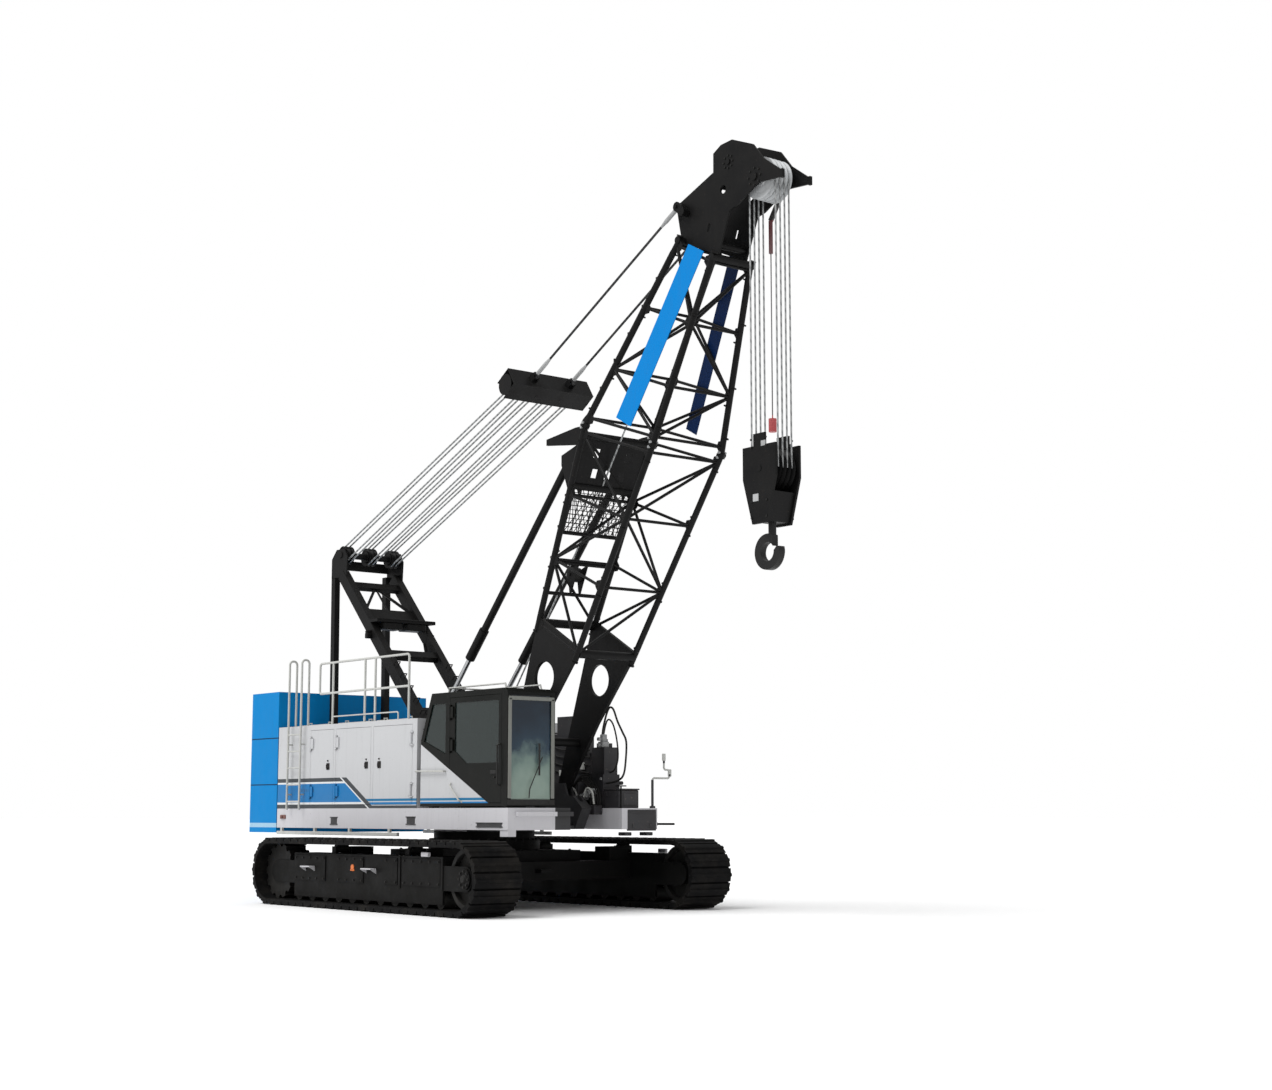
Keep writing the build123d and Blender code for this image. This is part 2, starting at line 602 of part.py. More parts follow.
CAB_SIDE = ((CAB_BACK, CAB_FLOOR), (CAB_FRONT, CAB_FLOOR), (CAB_FRONT, CAB_ROOF - 60.0), (CAB_FRONT - 60.0, CAB_ROOF),
            (CAB_BACK + 310.0, CAB_ROOF), (CAB_BACK, 2750.0))
CAB_DOOR_BACK = 1320.0
CAB_DOOR_FRONT = 2780.0
CAB_DOOR_BOTTOM = CAB_FLOOR + 50.0
CAB_DOOR_TOP = CAB_ROOF - 90.0
SWEEP_TOP = (CAB_BACK + 30.0, 2680.0)
SWEEP_FOOT = (2420.0, CAB_DOOR_BOTTOM)


def outline_face(points, amount=0.0):
    """An (x, z) outline as a face at y = 0, drawn in by amount."""
    face = make_face(Polyline(*[(x, 0, z) for x, z in points], close=True))
    return offset(face, amount=-amount, kind=Kind.INTERSECTION) if amount else face


def slab(points, amount, y0, y1):
    """An (x, z) outline drawn in by amount and extruded from y0 to y1."""
    return Pos(0, y0, 0) * extrude(outline_face(points, amount), amount=y1 - y0, dir=(0, 1, 0))


SWEEP_RISE = (SWEEP_TOP[1] - SWEEP_FOOT[1]) / (SWEEP_FOOT[0] - SWEEP_TOP[0])


def sweep_height(x):
    """The sweep line's height at x."""
    return SWEEP_TOP[1] - (x - SWEEP_TOP[0]) * SWEEP_RISE


def door_outline(gap):
    """The cab door's (x, z) outline, drawn in by a gap: its lower rear corner follows the sweep."""
    lean = hypot(1.0, SWEEP_RISE)
    return [
        (SWEEP_FOOT[0] + gap * (lean - 1) / SWEEP_RISE + gap, CAB_DOOR_BOTTOM + gap),
        (CAB_DOOR_FRONT - gap, CAB_DOOR_BOTTOM + gap),
        (CAB_DOOR_FRONT - gap, CAB_DOOR_TOP - gap),
        (CAB_DOOR_BACK + gap, CAB_DOOR_TOP - gap),
        (CAB_DOOR_BACK + gap, sweep_height(CAB_DOOR_BACK) + gap * lean - gap * SWEEP_RISE),
    ]


DOOR_WINDOW = ((1470.0, 2560.0), (1800.0, 2360.0), (2700.0, 2360.0), (2700.0, 3340.0), (1470.0, 3340.0))
QUARTER_WINDOW = ((CAB_BACK + 90.0, 2740.0), (1200.0, 2520.0), (1200.0, 3340.0), (CAB_BACK + 330.0, 3340.0))
CAB_OUT = -HOUSE_HALF_WIDTH
CAB_IN = -CAB_INNER


CAB_DOOR_THICK = CAB_WALL - 10.0
CAB_HINGE_BOTTOM = 2420.0
CAB_HINGE = (CAB_DOOR_BACK + HINGE_IN, CAB_OUT - HINGE_OUT)


def cab_windows(extra, y_in, x_in):
    """Front, left, rear and roof panes as blocks: (x0, x1, y0, y1, z0, z1) drawn in by extra."""
    e = extra
    return [
        block(CAB_FRONT - CAB_WALL + x_in, CAB_FRONT - x_in, CAB_OUT + 75.0 + e, CAB_IN - 75.0 - e,
              CAB_FLOOR + 90.0 + e, CAB_ROOF - 110.0 - e),
        block(1250.0 + e, CAB_FRONT - 120.0 - e, CAB_IN - CAB_WALL + y_in, CAB_IN - y_in,
              2250.0 + e, CAB_ROOF - 150.0 - e),
        block(1900.0 + e, CAB_FRONT - 220.0 - e, CAB_OUT + 140.0 + e, CAB_IN - 140.0 - e,
              CAB_ROOF - CAB_WALL + y_in, CAB_ROOF - y_in),
    ]


def cab_shell():
    """The cab's hollow body: floor, roof, walls and pillars, with its windows and door cut."""
    shell = slab(CAB_SIDE, 0.0, CAB_OUT, CAB_IN) - slab(CAB_SIDE, CAB_WALL, CAB_OUT + CAB_WALL, CAB_IN - CAB_WALL)
    cuts = cab_windows(0.0, -1.0, -1.0)
    cuts.append(slab(door_outline(0.0), 0.0, CAB_OUT - 1.0, CAB_OUT + CAB_WALL + 1.0))
    cuts.append(slab(QUARTER_WINDOW, 0.0, CAB_OUT - 1.0, CAB_OUT + CAB_WALL + 1.0))
    shell = shell - cuts
    mounts = [block(x - 60.0, x + 60.0, y - 60.0, y + 60.0, DECK_TOP, CAB_FLOOR)
              for x in (CAB_BACK + 200.0, CAB_FRONT - 200.0) for y in (CAB_OUT + 140.0, CAB_IN - 140.0)]
    return joined([shell - cab_side_panel()] + mounts + hinge_pins(*CAB_HINGE, CAB_HINGE_BOTTOM, CAB_DOOR_TOP, 1))


def cab_side_panel():
    """The light panel of the cab's right wall, behind the door and below the sweep line."""
    outline = [(CAB_BACK, CAB_FLOOR + CAB_WALL), (SWEEP_FOOT[0], CAB_FLOOR + CAB_WALL),
               (CAB_DOOR_BACK, sweep_height(CAB_DOOR_BACK)), (CAB_BACK, sweep_height(CAB_BACK))]
    return slab(outline, 0.0, CAB_OUT, CAB_OUT + CAB_WALL)


def cab_glass():
    """The cab's fixed panes, each seated in its opening."""
    inset_y = (CAB_WALL - GLASS) / 2
    panes = cab_windows(SEAL, inset_y, inset_y)
    panes.append(slab(QUARTER_WINDOW, SEAL, CAB_OUT + inset_y, CAB_OUT + inset_y + GLASS))
    return apart(panes)


def cab_door():
    """The cab door's frame, with its window cut and its knuckles."""
    leaf = slab(door_outline(DOOR_GAP), 0.0, CAB_OUT, CAB_OUT + CAB_DOOR_THICK)
    leaf -= slab(DOOR_WINDOW, 0.0, CAB_OUT - 1.0, CAB_OUT + CAB_WALL)
    leaf -= hinge_cuts(*CAB_HINGE, CAB_HINGE_BOTTOM, CAB_DOOR_TOP, 1)
    return joined([leaf] + knuckles(*CAB_HINGE, CAB_HINGE_BOTTOM, CAB_DOOR_TOP, 1))


def door_glass():
    inset_y = (CAB_DOOR_THICK - GLASS) / 2
    return slab(DOOR_WINDOW, SEAL, CAB_OUT + inset_y, CAB_OUT + inset_y + GLASS)


CONSOLE_GAP = 60.0
CONSOLE_WIDTH = 90.0


def cab_seat():
    """The operator's seat on its pedestal, with levers' consoles beside it."""
    y = (CAB_OUT + CAB_IN) / 2
    back_x, floor = CAB_BACK + 530.0, CAB_FLOOR + CAB_WALL
    back = side_plate([(back_x + 80.0, floor + 480.0), (back_x + 200.0, floor + 480.0), (back_x + 80.0, floor + 1150.0),
                       (back_x - 20.0, floor + 1150.0)], y - 240.0, y + 240.0)
    console_out = CAB_OUT + CAB_WALL + CONSOLE_GAP
    console_in = CAB_IN - CAB_WALL - CONSOLE_GAP
    return joined([
        block(back_x + 250.0, back_x + 600.0, y - 170.0, y + 170.0, floor, floor + 380.0),
        block(back_x + 120.0, back_x + 680.0, console_out + 1.0, console_in - 1.0, floor + 380.0, floor + 500.0),
        back,
        block(back_x + 250.0, back_x + 900.0, console_out, console_out + CONSOLE_WIDTH, floor + 380.0, floor + 640.0),
        block(back_x + 250.0, back_x + 900.0, console_in - CONSOLE_WIDTH, console_in, floor + 380.0, floor + 640.0),
    ])


# ---------------------------------------------------------------- boom

AXIS = (cos(radians(BOOM_ANGLE)), sin(radians(BOOM_ANGLE)))


def boom_xz(along, front):
    """(x, z) of a point this far along the boom's axis, and this far towards its front face."""
    return (BOOM_FOOT_X + along * AXIS[0] + front * AXIS[1], BOOM_FOOT_Z + along * AXIS[1] - front * AXIS[0])


def half_sizes(along):
    """The chords' half depth and half width at a place along the boom."""
    if along < BOOM_SPLIT:
        share = (along - FOOT_END) / (BOOM_SPLIT - FOOT_END)
        return (END_HALF_DEPTH + share * (SPLIT_HALF_DEPTH - END_HALF_DEPTH),
                END_HALF_WIDTH + share * (SPLIT_HALF_WIDTH - END_HALF_WIDTH))
    share = (along - BOOM_SPLIT) / (BOOM_TOP - BOOM_SPLIT)
    return (SPLIT_HALF_DEPTH + share * (TOP_HALF_DEPTH - SPLIT_HALF_DEPTH),
            SPLIT_HALF_WIDTH + share * (TOP_HALF_WIDTH - SPLIT_HALF_WIDTH))


def corner(along, front, side):
    """A chord's centre: front is 1 or -1, side is 1 or -1; the sections' joint is skewed along the boom."""
    depth, width = half_sizes(along)
    if along < BOOM_SPLIT:
        share = (along - FOOT_END) / (BOOM_SPLIT - FOOT_END)
    else:
        share = (BOOM_TOP - along) / (BOOM_TOP - BOOM_SPLIT)
    x, z = boom_xz(along + front * JOINT_SKEW * share, front * depth)
    return (x, side * width, z)


def lattice(start, end, stations):
    """Four chords with struts and crossing laces between the stations."""
    corners = ((-1, -1), (-1, 1), (1, 1), (1, -1))
    pieces = [rod(corner(start, front, side), corner(end, front, side), CHORD_RADIUS) for front, side in corners]
    for i, place in enumerate(stations):
        for j in range(4):
            here, there = corners[j], corners[(j + 1) % 4]
            pieces.append(rod(corner(place, *here), corner(place, *there), LACE_RADIUS))
            if i + 1 < len(stations):
                lace_from, lace_to = (here, there) if (i + j) % 2 else (there, here)
                pieces.append(rod(corner(place, *lace_from), corner(stations[i + 1], *lace_to), LACE_RADIUS))
    return joined(pieces)


REAR_LINE = Vector(*corner(BOOM_SPLIT, -1, 0)) - Vector(*corner(FOOT_END, -1, 0))
REAR_OUT = Vector(-REAR_LINE.Z, 0, REAR_LINE.X).normalized()


def rear_point(along, y, lift=0.0):
    """A point in the lower boom's rear face, lifted off it outwards."""
    x, _, z = corner(along, -1, 1)
    return (x + lift * REAR_OUT.X, y, z + lift * REAR_OUT.Z)


def rear_panel(points, lift, thick):
    """A plate in the rear face from (along, y) points."""
    face = make_face(Polyline(*[rear_point(along, y, lift) for along, y in points], close=True))
    return extrude(face, amount=thick, dir=tuple(REAR_OUT))


def rear_window(along, y, length, width):
    half, side = length / 2, width / 2
    return rear_panel([(along - half, y - side), (along - half, y + side), (along + half, y + side),
                       (along + half, y - side)], -60.0, 120.0)


def rear_bay(low, high):
    """The (along, y) corners of the rear face between its chords."""
    return [(low, -half_sizes(low)[1]), (low, half_sizes(low)[1]), (high, half_sizes(high)[1]),
            (high, -half_sizes(high)[1])]


FRAME_LOW = 5200.0
FRAME_HIGH = 6070.0
FRAME_WINDOWS = ((5450.0, -270.0), (5450.0, 0.0), (5450.0, 270.0), (5800.0, 320.0), (5800.0, -320.0))
MESH_LOW = 4370.0
MESH_ROWS = 5
MESH_COLUMNS = 8
ROLLER_AXLE = (2530.0, 5450.0)
GUIDE_ROLLER_RADIUS = 120.0
GUIDE_ROLLER_HALF = 80.0
BRACKET_PLACES = (3300.0, 3850.0)
ARM_INNER = 665.0
ARM_OUTER = 705.0
FOOT_INNER = FOOT_HALF_WIDTH - FOOT_PLATE / 2
FOOT_OUTER = FOOT_HALF_WIDTH + FOOT_PLATE / 2


def boom_feet():
    """The two plated feet with their lightening holes, bores and cross tubes."""
    half_depth = half_sizes(FOOT_END)[0]
    outline = [boom_xz(FOOT_END + 150.0, -half_depth - 40.0), boom_xz(FOOT_END + 150.0, half_depth + 40.0),
               boom_xz(1400.0, 310.0), boom_xz(0.0, 130.0), boom_xz(-110.0, 70.0), boom_xz(-110.0, -70.0),
               boom_xz(0.0, -130.0)]
    plate = side_plate(outline, FOOT_INNER, FOOT_OUTER)
    plate -= cross_rod(boom_xz(2050.0, 0.0), FOOT_INNER - 1.0, FOOT_OUTER + 1.0, 260.0)
    plate -= cross_rod((BOOM_FOOT_X, BOOM_FOOT_Z), FOOT_INNER - 1.0, FOOT_OUTER + 1.0, PIN_RADIUS + PIN_GAP)
    pieces = both_sides([plate])
    for along, front in ((900.0, 0.0), (FOOT_END + 60.0, -half_depth), (FOOT_END + 60.0, half_depth)):
        pieces.append(cross_rod(boom_xz(along, front), -FOOT_HALF_WIDTH, FOOT_HALF_WIDTH, 70.0))
    return pieces


def backstop_lugs():
    """The plates and pins that the backstops hang from."""
    foot, head = rear_point(5050.0, 0.0), rear_point(5980.0, 0.0)
    outline = [(STOP_HEAD[0] - 70.0, STOP_HEAD[1] - 70.0), (STOP_HEAD[0] - 70.0, STOP_HEAD[1] + 90.0),
               (head[0], head[2]), (foot[0], foot[2])]
    reach = 75.0 + SIDE_GAP
    pieces = []
    for centre in (STOP_HALF - reach - 15.0, STOP_HALF + reach + 15.0):
        pieces.append(side_plate(outline, centre - 15.0, centre + 15.0))
    pieces.append(cross_rod(STOP_HEAD, STOP_HALF - reach - 30.0, STOP_HALF + reach + 30.0, 30.0))
    return both_sides(pieces)


def rear_face_pieces():
    """The rear face's joint frame, mesh, guide roller brackets and arms."""
    frame = rear_panel(rear_bay(FRAME_LOW, FRAME_HIGH), -15.0, 30.0)
    frame -= [rear_window(along, y, 160.0, 120.0) for along, y in FRAME_WINDOWS]
    mesh = rear_panel(rear_bay(MESH_LOW, FRAME_LOW), -6.0, 12.0)
    pitch_along = (FRAME_LOW - MESH_LOW - 60.0) / MESH_ROWS
    pitch_y = 2 * (half_sizes(MESH_LOW)[1] - 60.0) / MESH_COLUMNS
    holes = []
    for row in range(MESH_ROWS):
        for column in range(MESH_COLUMNS):
            holes.append(rear_window(MESH_LOW + 30.0 + (row + 0.5) * pitch_along,
                                     (column + 0.5 - MESH_COLUMNS / 2) * pitch_y, pitch_along - 14.0, pitch_y - 14.0))
    pieces = [frame, mesh - holes]
    for along in (MESH_LOW, FRAME_LOW, FRAME_HIGH):
        width = half_sizes(along)[1]
        pieces.append(rod(rear_point(along, -width), rear_point(along, width), 60.0 if along > MESH_LOW else LACE_RADIUS))
    low, high = (rear_point(place, 0.0) for place in BRACKET_PLACES)
    for place in BRACKET_PLACES:
        width = half_sizes(place)[1]
        pieces.append(rod(rear_point(place, -width), rear_point(place, width), 30.0))
    inner = GUIDE_ROLLER_HALF + SIDE_GAP
    bracket = side_plate([(low[0] + 15.0, low[2]), (low[0] - 15.0, low[2]), (ROLLER_AXLE[0] - 55.0, ROLLER_AXLE[1] - 20.0),
                          (ROLLER_AXLE[0] - 30.0, ROLLER_AXLE[1] + 55.0), (high[0] - 15.0, high[2]),
                          (high[0] + 15.0, high[2])], inner, inner + 15.0)
    pieces += both_sides([bracket])
    pieces.append(cross_rod(ROLLER_AXLE, -inner - 30.0, inner + 30.0, 25.0))
    arm = side_plate([(3580.0, 7400.0), (3690.0, 7680.0), (3450.0, 7680.0), (2680.0, 7600.0), (2680.0, 7500.0),
                      (3450.0, 7400.0)], ARM_INNER, ARM_OUTER)
    return pieces + both_sides([arm])


def boom_lower():
    """The lower boom section: plated feet, lattice, joint frame, backstop lugs and joint pins."""
    pieces = [lattice(FOOT_END - 60.0, BOOM_SPLIT - 40.0, (2760.0, 3900.0, 5040.0, 6120.0))]
    return joined(pieces + boom_feet() + backstop_lugs() + rear_face_pieces() + [joint_pins()])


def boom_roller():
    """The rope roller on the lower boom's rear face."""
    return cross_rod(ROLLER_AXLE, -GUIDE_ROLLER_HALF, GUIDE_ROLLER_HALF, GUIDE_ROLLER_RADIUS, 25.0 + PIN_GAP)


def boom_upper():
    """The upper boom section, a tapering lattice."""
    return lattice(BOOM_SPLIT + 40.0, BOOM_TOP + 60.0, (BOOM_SPLIT + 130.0, 7200.0, 8230.0, BOOM_TOP - 20.0))


def joint_pins():
    """The pinned eyes between the two boom sections."""
    pieces = []
    for front in (-1, 1):
        for side in (-1, 1):
            x, y, z = corner(BOOM_SPLIT, front, side)
            lower = corner(BOOM_SPLIT - 40.0, front, side)
            upper = corner(BOOM_SPLIT + 40.0, front, side)
            pieces.append(rod(lower, upper, CHORD_RADIUS + 12.0))
            pieces.append(rod((x, y - 75.0, z), (x, y + 75.0, z), 32.0))
    return joined(pieces)


HEAD_OUTLINE = (
    (5619.0, 10306.0), (5502.0, 10855.0), (5562.0, 10940.0), (6358.0, 11233.0), (6360.0, 11529.0), (6533.0, 11620.0),
    (6789.0, 11637.0), (7250.0, 11440.0), (7480.0, 11160.0), (7848.0, 10890.0), (7846.0, 10780.0), (7390.0, 10820.0),
    (7225.0, 10753.0), (6890.0, 10587.0), (6722.0, 10552.0), (6461.0, 9914.0),
)
HEAD_INNER = HEAD_HALF_WIDTH - HEAD_PLATE / 2
HEAD_OUTER = HEAD_HALF_WIDTH + HEAD_PLATE / 2
HEAD_TUBES = ((5800.0, 10420.0), (6300.0, 11080.0), (6430.0, 10080.0))
STAY_TUBE = (5760.0, 10740.0)
STAY_EAR = 20.0
STAY_EYE_HALF = 27.0
BASE_PLACE = BOOM_TOP + 60.0


def boom_head():
    """The head: two side plates with their cross tubes, axles, stay ears and nose flanges."""
    plate = side_plate(HEAD_OUTLINE, HEAD_INNER, HEAD_OUTER)
    plate -= cross_rod((6580.0, 10910.0), HEAD_INNER - 1.0, HEAD_OUTER + 1.0, 65.0)
    plate -= box_beam((6230.0, 10330.0), (6275.0, 10455.0), HEAD_INNER - 1.0, HEAD_OUTER + 1.0, 60.0)
    pieces = both_sides([plate, block(7846.0, 7890.0, HEAD_INNER - 10.0, HEAD_OUTER + 10.0, 10765.0, 10895.0)])
    pieces.append(cross_rod(HEAD_AXLE, -HEAD_OUTER - 20.0, OVERHOIST_Y + OVERHOIST_HALF + 6.0, AXLE_RADIUS))
    pieces.append(cross_rod(GUIDE_AXLE, -HEAD_OUTER - 20.0, HEAD_OUTER + 20.0, 45.0))
    for place in HEAD_TUBES:
        pieces.append(cross_rod(place, -HEAD_INNER, HEAD_INNER, 50.0))
    for front in (-TOP_HALF_DEPTH, TOP_HALF_DEPTH):
        pieces.append(cross_rod(boom_xz(BASE_PLACE, front), -TOP_HALF_WIDTH - 40.0, TOP_HALF_WIDTH + 40.0, 60.0))
    ear_near = STAY_HALF - STAY_EYE_HALF - 3.0
    ear_far = STAY_HALF + STAY_EYE_HALF + 3.0
    for y0, y1 in ((ear_near - STAY_EAR, ear_near), (ear_far, ear_far + STAY_EAR)):
        pieces += both_sides([box_beam(STAY_PIN, STAY_TUBE, y0, y1, 130.0), cross_rod(STAY_PIN, y0, y1, 75.0)])
    pieces.append(cross_rod(STAY_TUBE, -ear_far - STAY_EAR, ear_far + STAY_EAR, 60.0))
    pieces.append(cross_rod(STAY_PIN, -ear_far - STAY_EAR - 25.0, ear_far + STAY_EAR + 25.0, 30.0))
    return joined(pieces)


BOARD_LIFT = 14.0
BOARD_THICK = 14.0
BOARD_PLACES = (BOOM_SPLIT + 230.0, BOOM_TOP + 80.0)
BOARD_REAR = -150.0
BOARD_FRONTS = {-1: 250.0, 1: 130.0}
CLIP_RADIUS = 18.0


def sign_boards():
    """Two plain boards on the upper boom's sides, with the clips that hold them on its struts."""
    boards = []
    for side in (-1, 1):
        low, high = BOARD_PLACES
        front_edge = BOARD_FRONTS[side]
        corners = [(high, BOARD_REAR), (high, front_edge), (low, front_edge), (low, BOARD_REAR)]
        faces = []
        for lift in (BOARD_LIFT, BOARD_LIFT + BOARD_THICK):
            ring = []
            for along, front in corners:
                x, z = boom_xz(along, front)
                ring.append((x, side * (half_sizes(along)[1] + LACE_RADIUS + lift), z))
            faces.append(make_face(Polyline(*ring, close=True)))
        board = loft(faces)
        clips = []
        for place in (7200.0, 8230.0):
            rear, front = Vector(*corner(place, -1, side)), Vector(*corner(place, 1, side))
            for share in (0.46, 0.58):
                foot = rear + (front - rear) * share
                clips.append(rod(tuple(foot), (foot.X, foot.Y + side * (LACE_RADIUS + BOARD_LIFT + 6.0), foot.Z),
                                 CLIP_RADIUS))
        boards.append(joined([board] + clips))
    return apart(boards)


# ---------------------------------------------------------------- gantry


GANTRY_INNER = GANTRY_HALF - GANTRY_LEG / 2
GANTRY_OUTER = GANTRY_HALF + GANTRY_LEG / 2
CROWN_OUTER = 624.0
CROWN_PLATE = 26.0
LEG_END = 0.955


def leg_point(share):
    """A place on the front legs, by its share of the way from foot to top."""
    return (GANTRY_FOOT[0] + (GANTRY_TOP[0] - GANTRY_FOOT[0]) * share,
            GANTRY_FOOT[1] + (GANTRY_TOP[1] - GANTRY_FOOT[1]) * share)


def gantry_front():
    """The inclined front legs with cross members, platform, backstop ears and the crown of the sheave nest."""
    pieces = both_sides([box_beam(GANTRY_FOOT, leg_point(LEG_END), GANTRY_INNER, GANTRY_OUTER, 210.0)])
    for share, depth in ((0.905, 90.0), (0.60, 120.0), (0.36, 120.0)):
        pieces.append(box_beam(leg_point(share - 0.012), leg_point(share + 0.012), -GANTRY_INNER, GANTRY_INNER, depth))
    pieces.append(box_beam(leg_point(0.735), leg_point(0.80), -GANTRY_INNER, GANTRY_INNER, 40.0))
    x, z = leg_point(0.745)
    pieces.append(block(x - 40.0, x + 420.0, -GANTRY_OUTER, GANTRY_OUTER, z - 30.0, z + 20.0))
    ears = []
    for centre in (STOP_HALF - 50.0 - SIDE_GAP - 12.0, STOP_HALF + 50.0 + SIDE_GAP + 12.0):
        ears.append(side_plate([(STOP_EYE[0] - 480.0, STOP_EYE[1] - 280.0), (STOP_EYE[0] - 130.0, STOP_EYE[1] - 520.0),
                                (STOP_EYE[0] + 90.0, STOP_EYE[1] + 30.0), (STOP_EYE[0] - 60.0, STOP_EYE[1] + 90.0)],
                               centre - 12.0, centre + 12.0))
    pieces += both_sides(ears)
    x, z = GANTRY_AXLE
    crown = side_plate([(x - 330.0, z - 420.0), (x + 210.0, z - 420.0), (x + 230.0, z - 60.0), (x + 120.0, z + 110.0),
                        (x - 160.0, z + 110.0), (x - 330.0, z - 60.0)], CROWN_OUTER - CROWN_PLATE, CROWN_OUTER)
    pieces += both_sides([crown])
    pieces.append(block(x - 330.0, x - 300.0, -CROWN_OUTER, CROWN_OUTER, z - 240.0, z - 60.0))
    pieces.append(cross_rod(GANTRY_AXLE, -CROWN_OUTER - 16.0, CROWN_OUTER + 16.0, AXLE_RADIUS))
    return joined(pieces)


def gantry_rear():
    """The upright rear legs."""
    top = (GANTRY_TOP[0] - 90.0, GANTRY_TOP[1] - 150.0)
    return apart(both_sides([box_beam(GANTRY_REAR_FOOT, top, GANTRY_HALF - 55.0, GANTRY_HALF + 55.0, 130.0)]))


SHEAVE_GROUPS = (-500.0, 0.0, 500.0)
GROUP_PITCH = 90.0
GROUP_WIDTH = 80.0


def grouped_sheaves(axle, radius, bore):
    """Three pairs of rope sheaves across the crane, each pair in one piece."""
    return apart([sheaves(axle, (middle - GROUP_PITCH / 2, middle + GROUP_PITCH / 2), radius, radius - 30.0,
                          GROUP_WIDTH, bore) for middle in SHEAVE_GROUPS])


def gantry_sheaves():
    return grouped_sheaves(GANTRY_AXLE, GANTRY_SHEAVE, AXLE_RADIUS + PIN_GAP)


# ---------------------------------------------------------------- bridle and stays


BRIDLE_PLATE = 30.0
BRIDLE_WEB = 235.0
BRIDLE_SKIN = 18.0


def bridle():
    """The bridle's sheave box: four web plates, covers, a front plate and clevises."""
    x, z = BRIDLE_AXLE
    slope = atan2(BRIDLE_CLEVIS[1] - z, BRIDLE_CLEVIS[0] - x)
    webs = both_sides([
        cross_rod(BRIDLE_AXLE, y, y + BRIDLE_PLATE, BRIDLE_SHEAVE + 30.0)
        for y in (BRIDLE_WEB, BRIDLE_HALF - BRIDLE_PLATE)])
    pieces = webs + [cross_rod(BRIDLE_AXLE, -BRIDLE_HALF, BRIDLE_HALF, 45.0)]
    up_x, up_z = -sin(slope), cos(slope)
    for lift in (-1, 1):
        reach = BRIDLE_SHEAVE + BRIDLE_SKIN
        start = (x + lift * up_x * reach - 150.0 * cos(slope), z + lift * up_z * reach - 150.0 * sin(slope))
        end = (x + lift * up_x * reach + 200.0 * cos(slope), z + lift * up_z * reach + 200.0 * sin(slope))
        pieces.append(box_beam(start, end, -BRIDLE_HALF, BRIDLE_HALF, 16.0))
    face = (x + 205.0 * cos(slope), z + 205.0 * sin(slope))
    half = BRIDLE_SHEAVE + BRIDLE_SKIN + 8.0
    pieces.append(box_beam((face[0] - up_x * half, face[1] - up_z * half),
                           (face[0] + up_x * half, face[1] + up_z * half), -BRIDLE_HALF, BRIDLE_HALF, 20.0))
    for side in (-1, 1):
        for y in (side * STAY_HALF - 45.0, side * STAY_HALF + 45.0):
            pieces.append(box_beam(face, BRIDLE_CLEVIS, y - 12.0, y + 12.0, 120.0))
        pieces.append(cross_rod(BRIDLE_CLEVIS, side * STAY_HALF - 57.0, side * STAY_HALF + 57.0, 25.0))
    return joined(pieces)


def stays():
    """The two pendants, each with an eye at both ends."""
    stays_made = []
    for side in (-1, 1):
        y = side * STAY_HALF
        length = hypot(STAY_PIN[0] - BRIDLE_CLEVIS[0], STAY_PIN[1] - BRIDLE_CLEVIS[1])
        unit = ((STAY_PIN[0] - BRIDLE_CLEVIS[0]) / length, (STAY_PIN[1] - BRIDLE_CLEVIS[1]) / length)
        start = (BRIDLE_CLEVIS[0] + unit[0] * 60.0, y, BRIDLE_CLEVIS[1] + unit[1] * 60.0)
        end = (STAY_PIN[0] - unit[0] * 60.0, y, STAY_PIN[1] - unit[1] * 60.0)
        eyes = [cross_rod(BRIDLE_CLEVIS, y - STAY_EYE_HALF, y + STAY_EYE_HALF, 62.0), cross_rod(STAY_PIN, y - STAY_EYE_HALF, y + STAY_EYE_HALF, 62.0)]
        stay = joined([rod(start, end, STAY_RADIUS)] + eyes)
        stay -= cross_rod(BRIDLE_CLEVIS, y - 28.0, y + 28.0, 25.0 + PIN_GAP)
        stay -= cross_rod(STAY_PIN, y - 28.0, y + 28.0, 30.0 + PIN_GAP)
        stays_made.append(stay)
    return apart(stays_made)


def bridle_sheaves():
    return grouped_sheaves(BRIDLE_AXLE, BRIDLE_SHEAVE, 45.0 + PIN_GAP)


# ---------------------------------------------------------------- backstops

STOP_LENGTH = hypot(STOP_HEAD[0] - STOP_EYE[0], STOP_HEAD[1] - STOP_EYE[1])
STOP_UNIT = ((STOP_EYE[0] - STOP_HEAD[0]) / STOP_LENGTH, (STOP_EYE[1] - STOP_HEAD[1]) / STOP_LENGTH)


def stop_point(distance, y):
    """A point on the backstop's axis, this far below its upper pin."""
    return (STOP_HEAD[0] + STOP_UNIT[0] * distance, y, STOP_HEAD[1] + STOP_UNIT[1] * distance)


def backstop_tubes():
    tubes = []
    for side in (-1, 1):
        y = side * STOP_HALF
        tube = joined([
            rod(stop_point(60.0, y), stop_point(STOP_TUBE, y), STOP_TUBE_RADIUS),
            rod(stop_point(STOP_TUBE - 620.0, y), stop_point(STOP_TUBE, y), STOP_TUBE_RADIUS + 22.0),
            cross_rod(STOP_HEAD, y - 75.0, y + 75.0, 85.0),
        ])
        tube -= rod(stop_point(260.0, y), stop_point(STOP_TUBE + 1.0, y), STOP_BORE_RADIUS)
        tube -= cross_rod(STOP_HEAD, y - 76.0, y + 76.0, 30.0 + PIN_GAP)
        tubes.append(tube)
    return apart(tubes)


def backstop_rods():
    rods = []
    for side in (-1, 1):
        y = side * STOP_HALF
        eye = cross_rod(STOP_EYE, y - 50.0, y + 50.0, 80.0)
        bar = joined([rod(stop_point(STOP_LENGTH - STOP_ROD_LENGTH, y), stop_point(STOP_LENGTH - 50.0, y),
                          STOP_ROD_RADIUS), eye])
        rods.append(bar - cross_rod(STOP_EYE, y - 51.0, y + 51.0, 32.0))
    return apart(rods)


# ---------------------------------------------------------------- winches

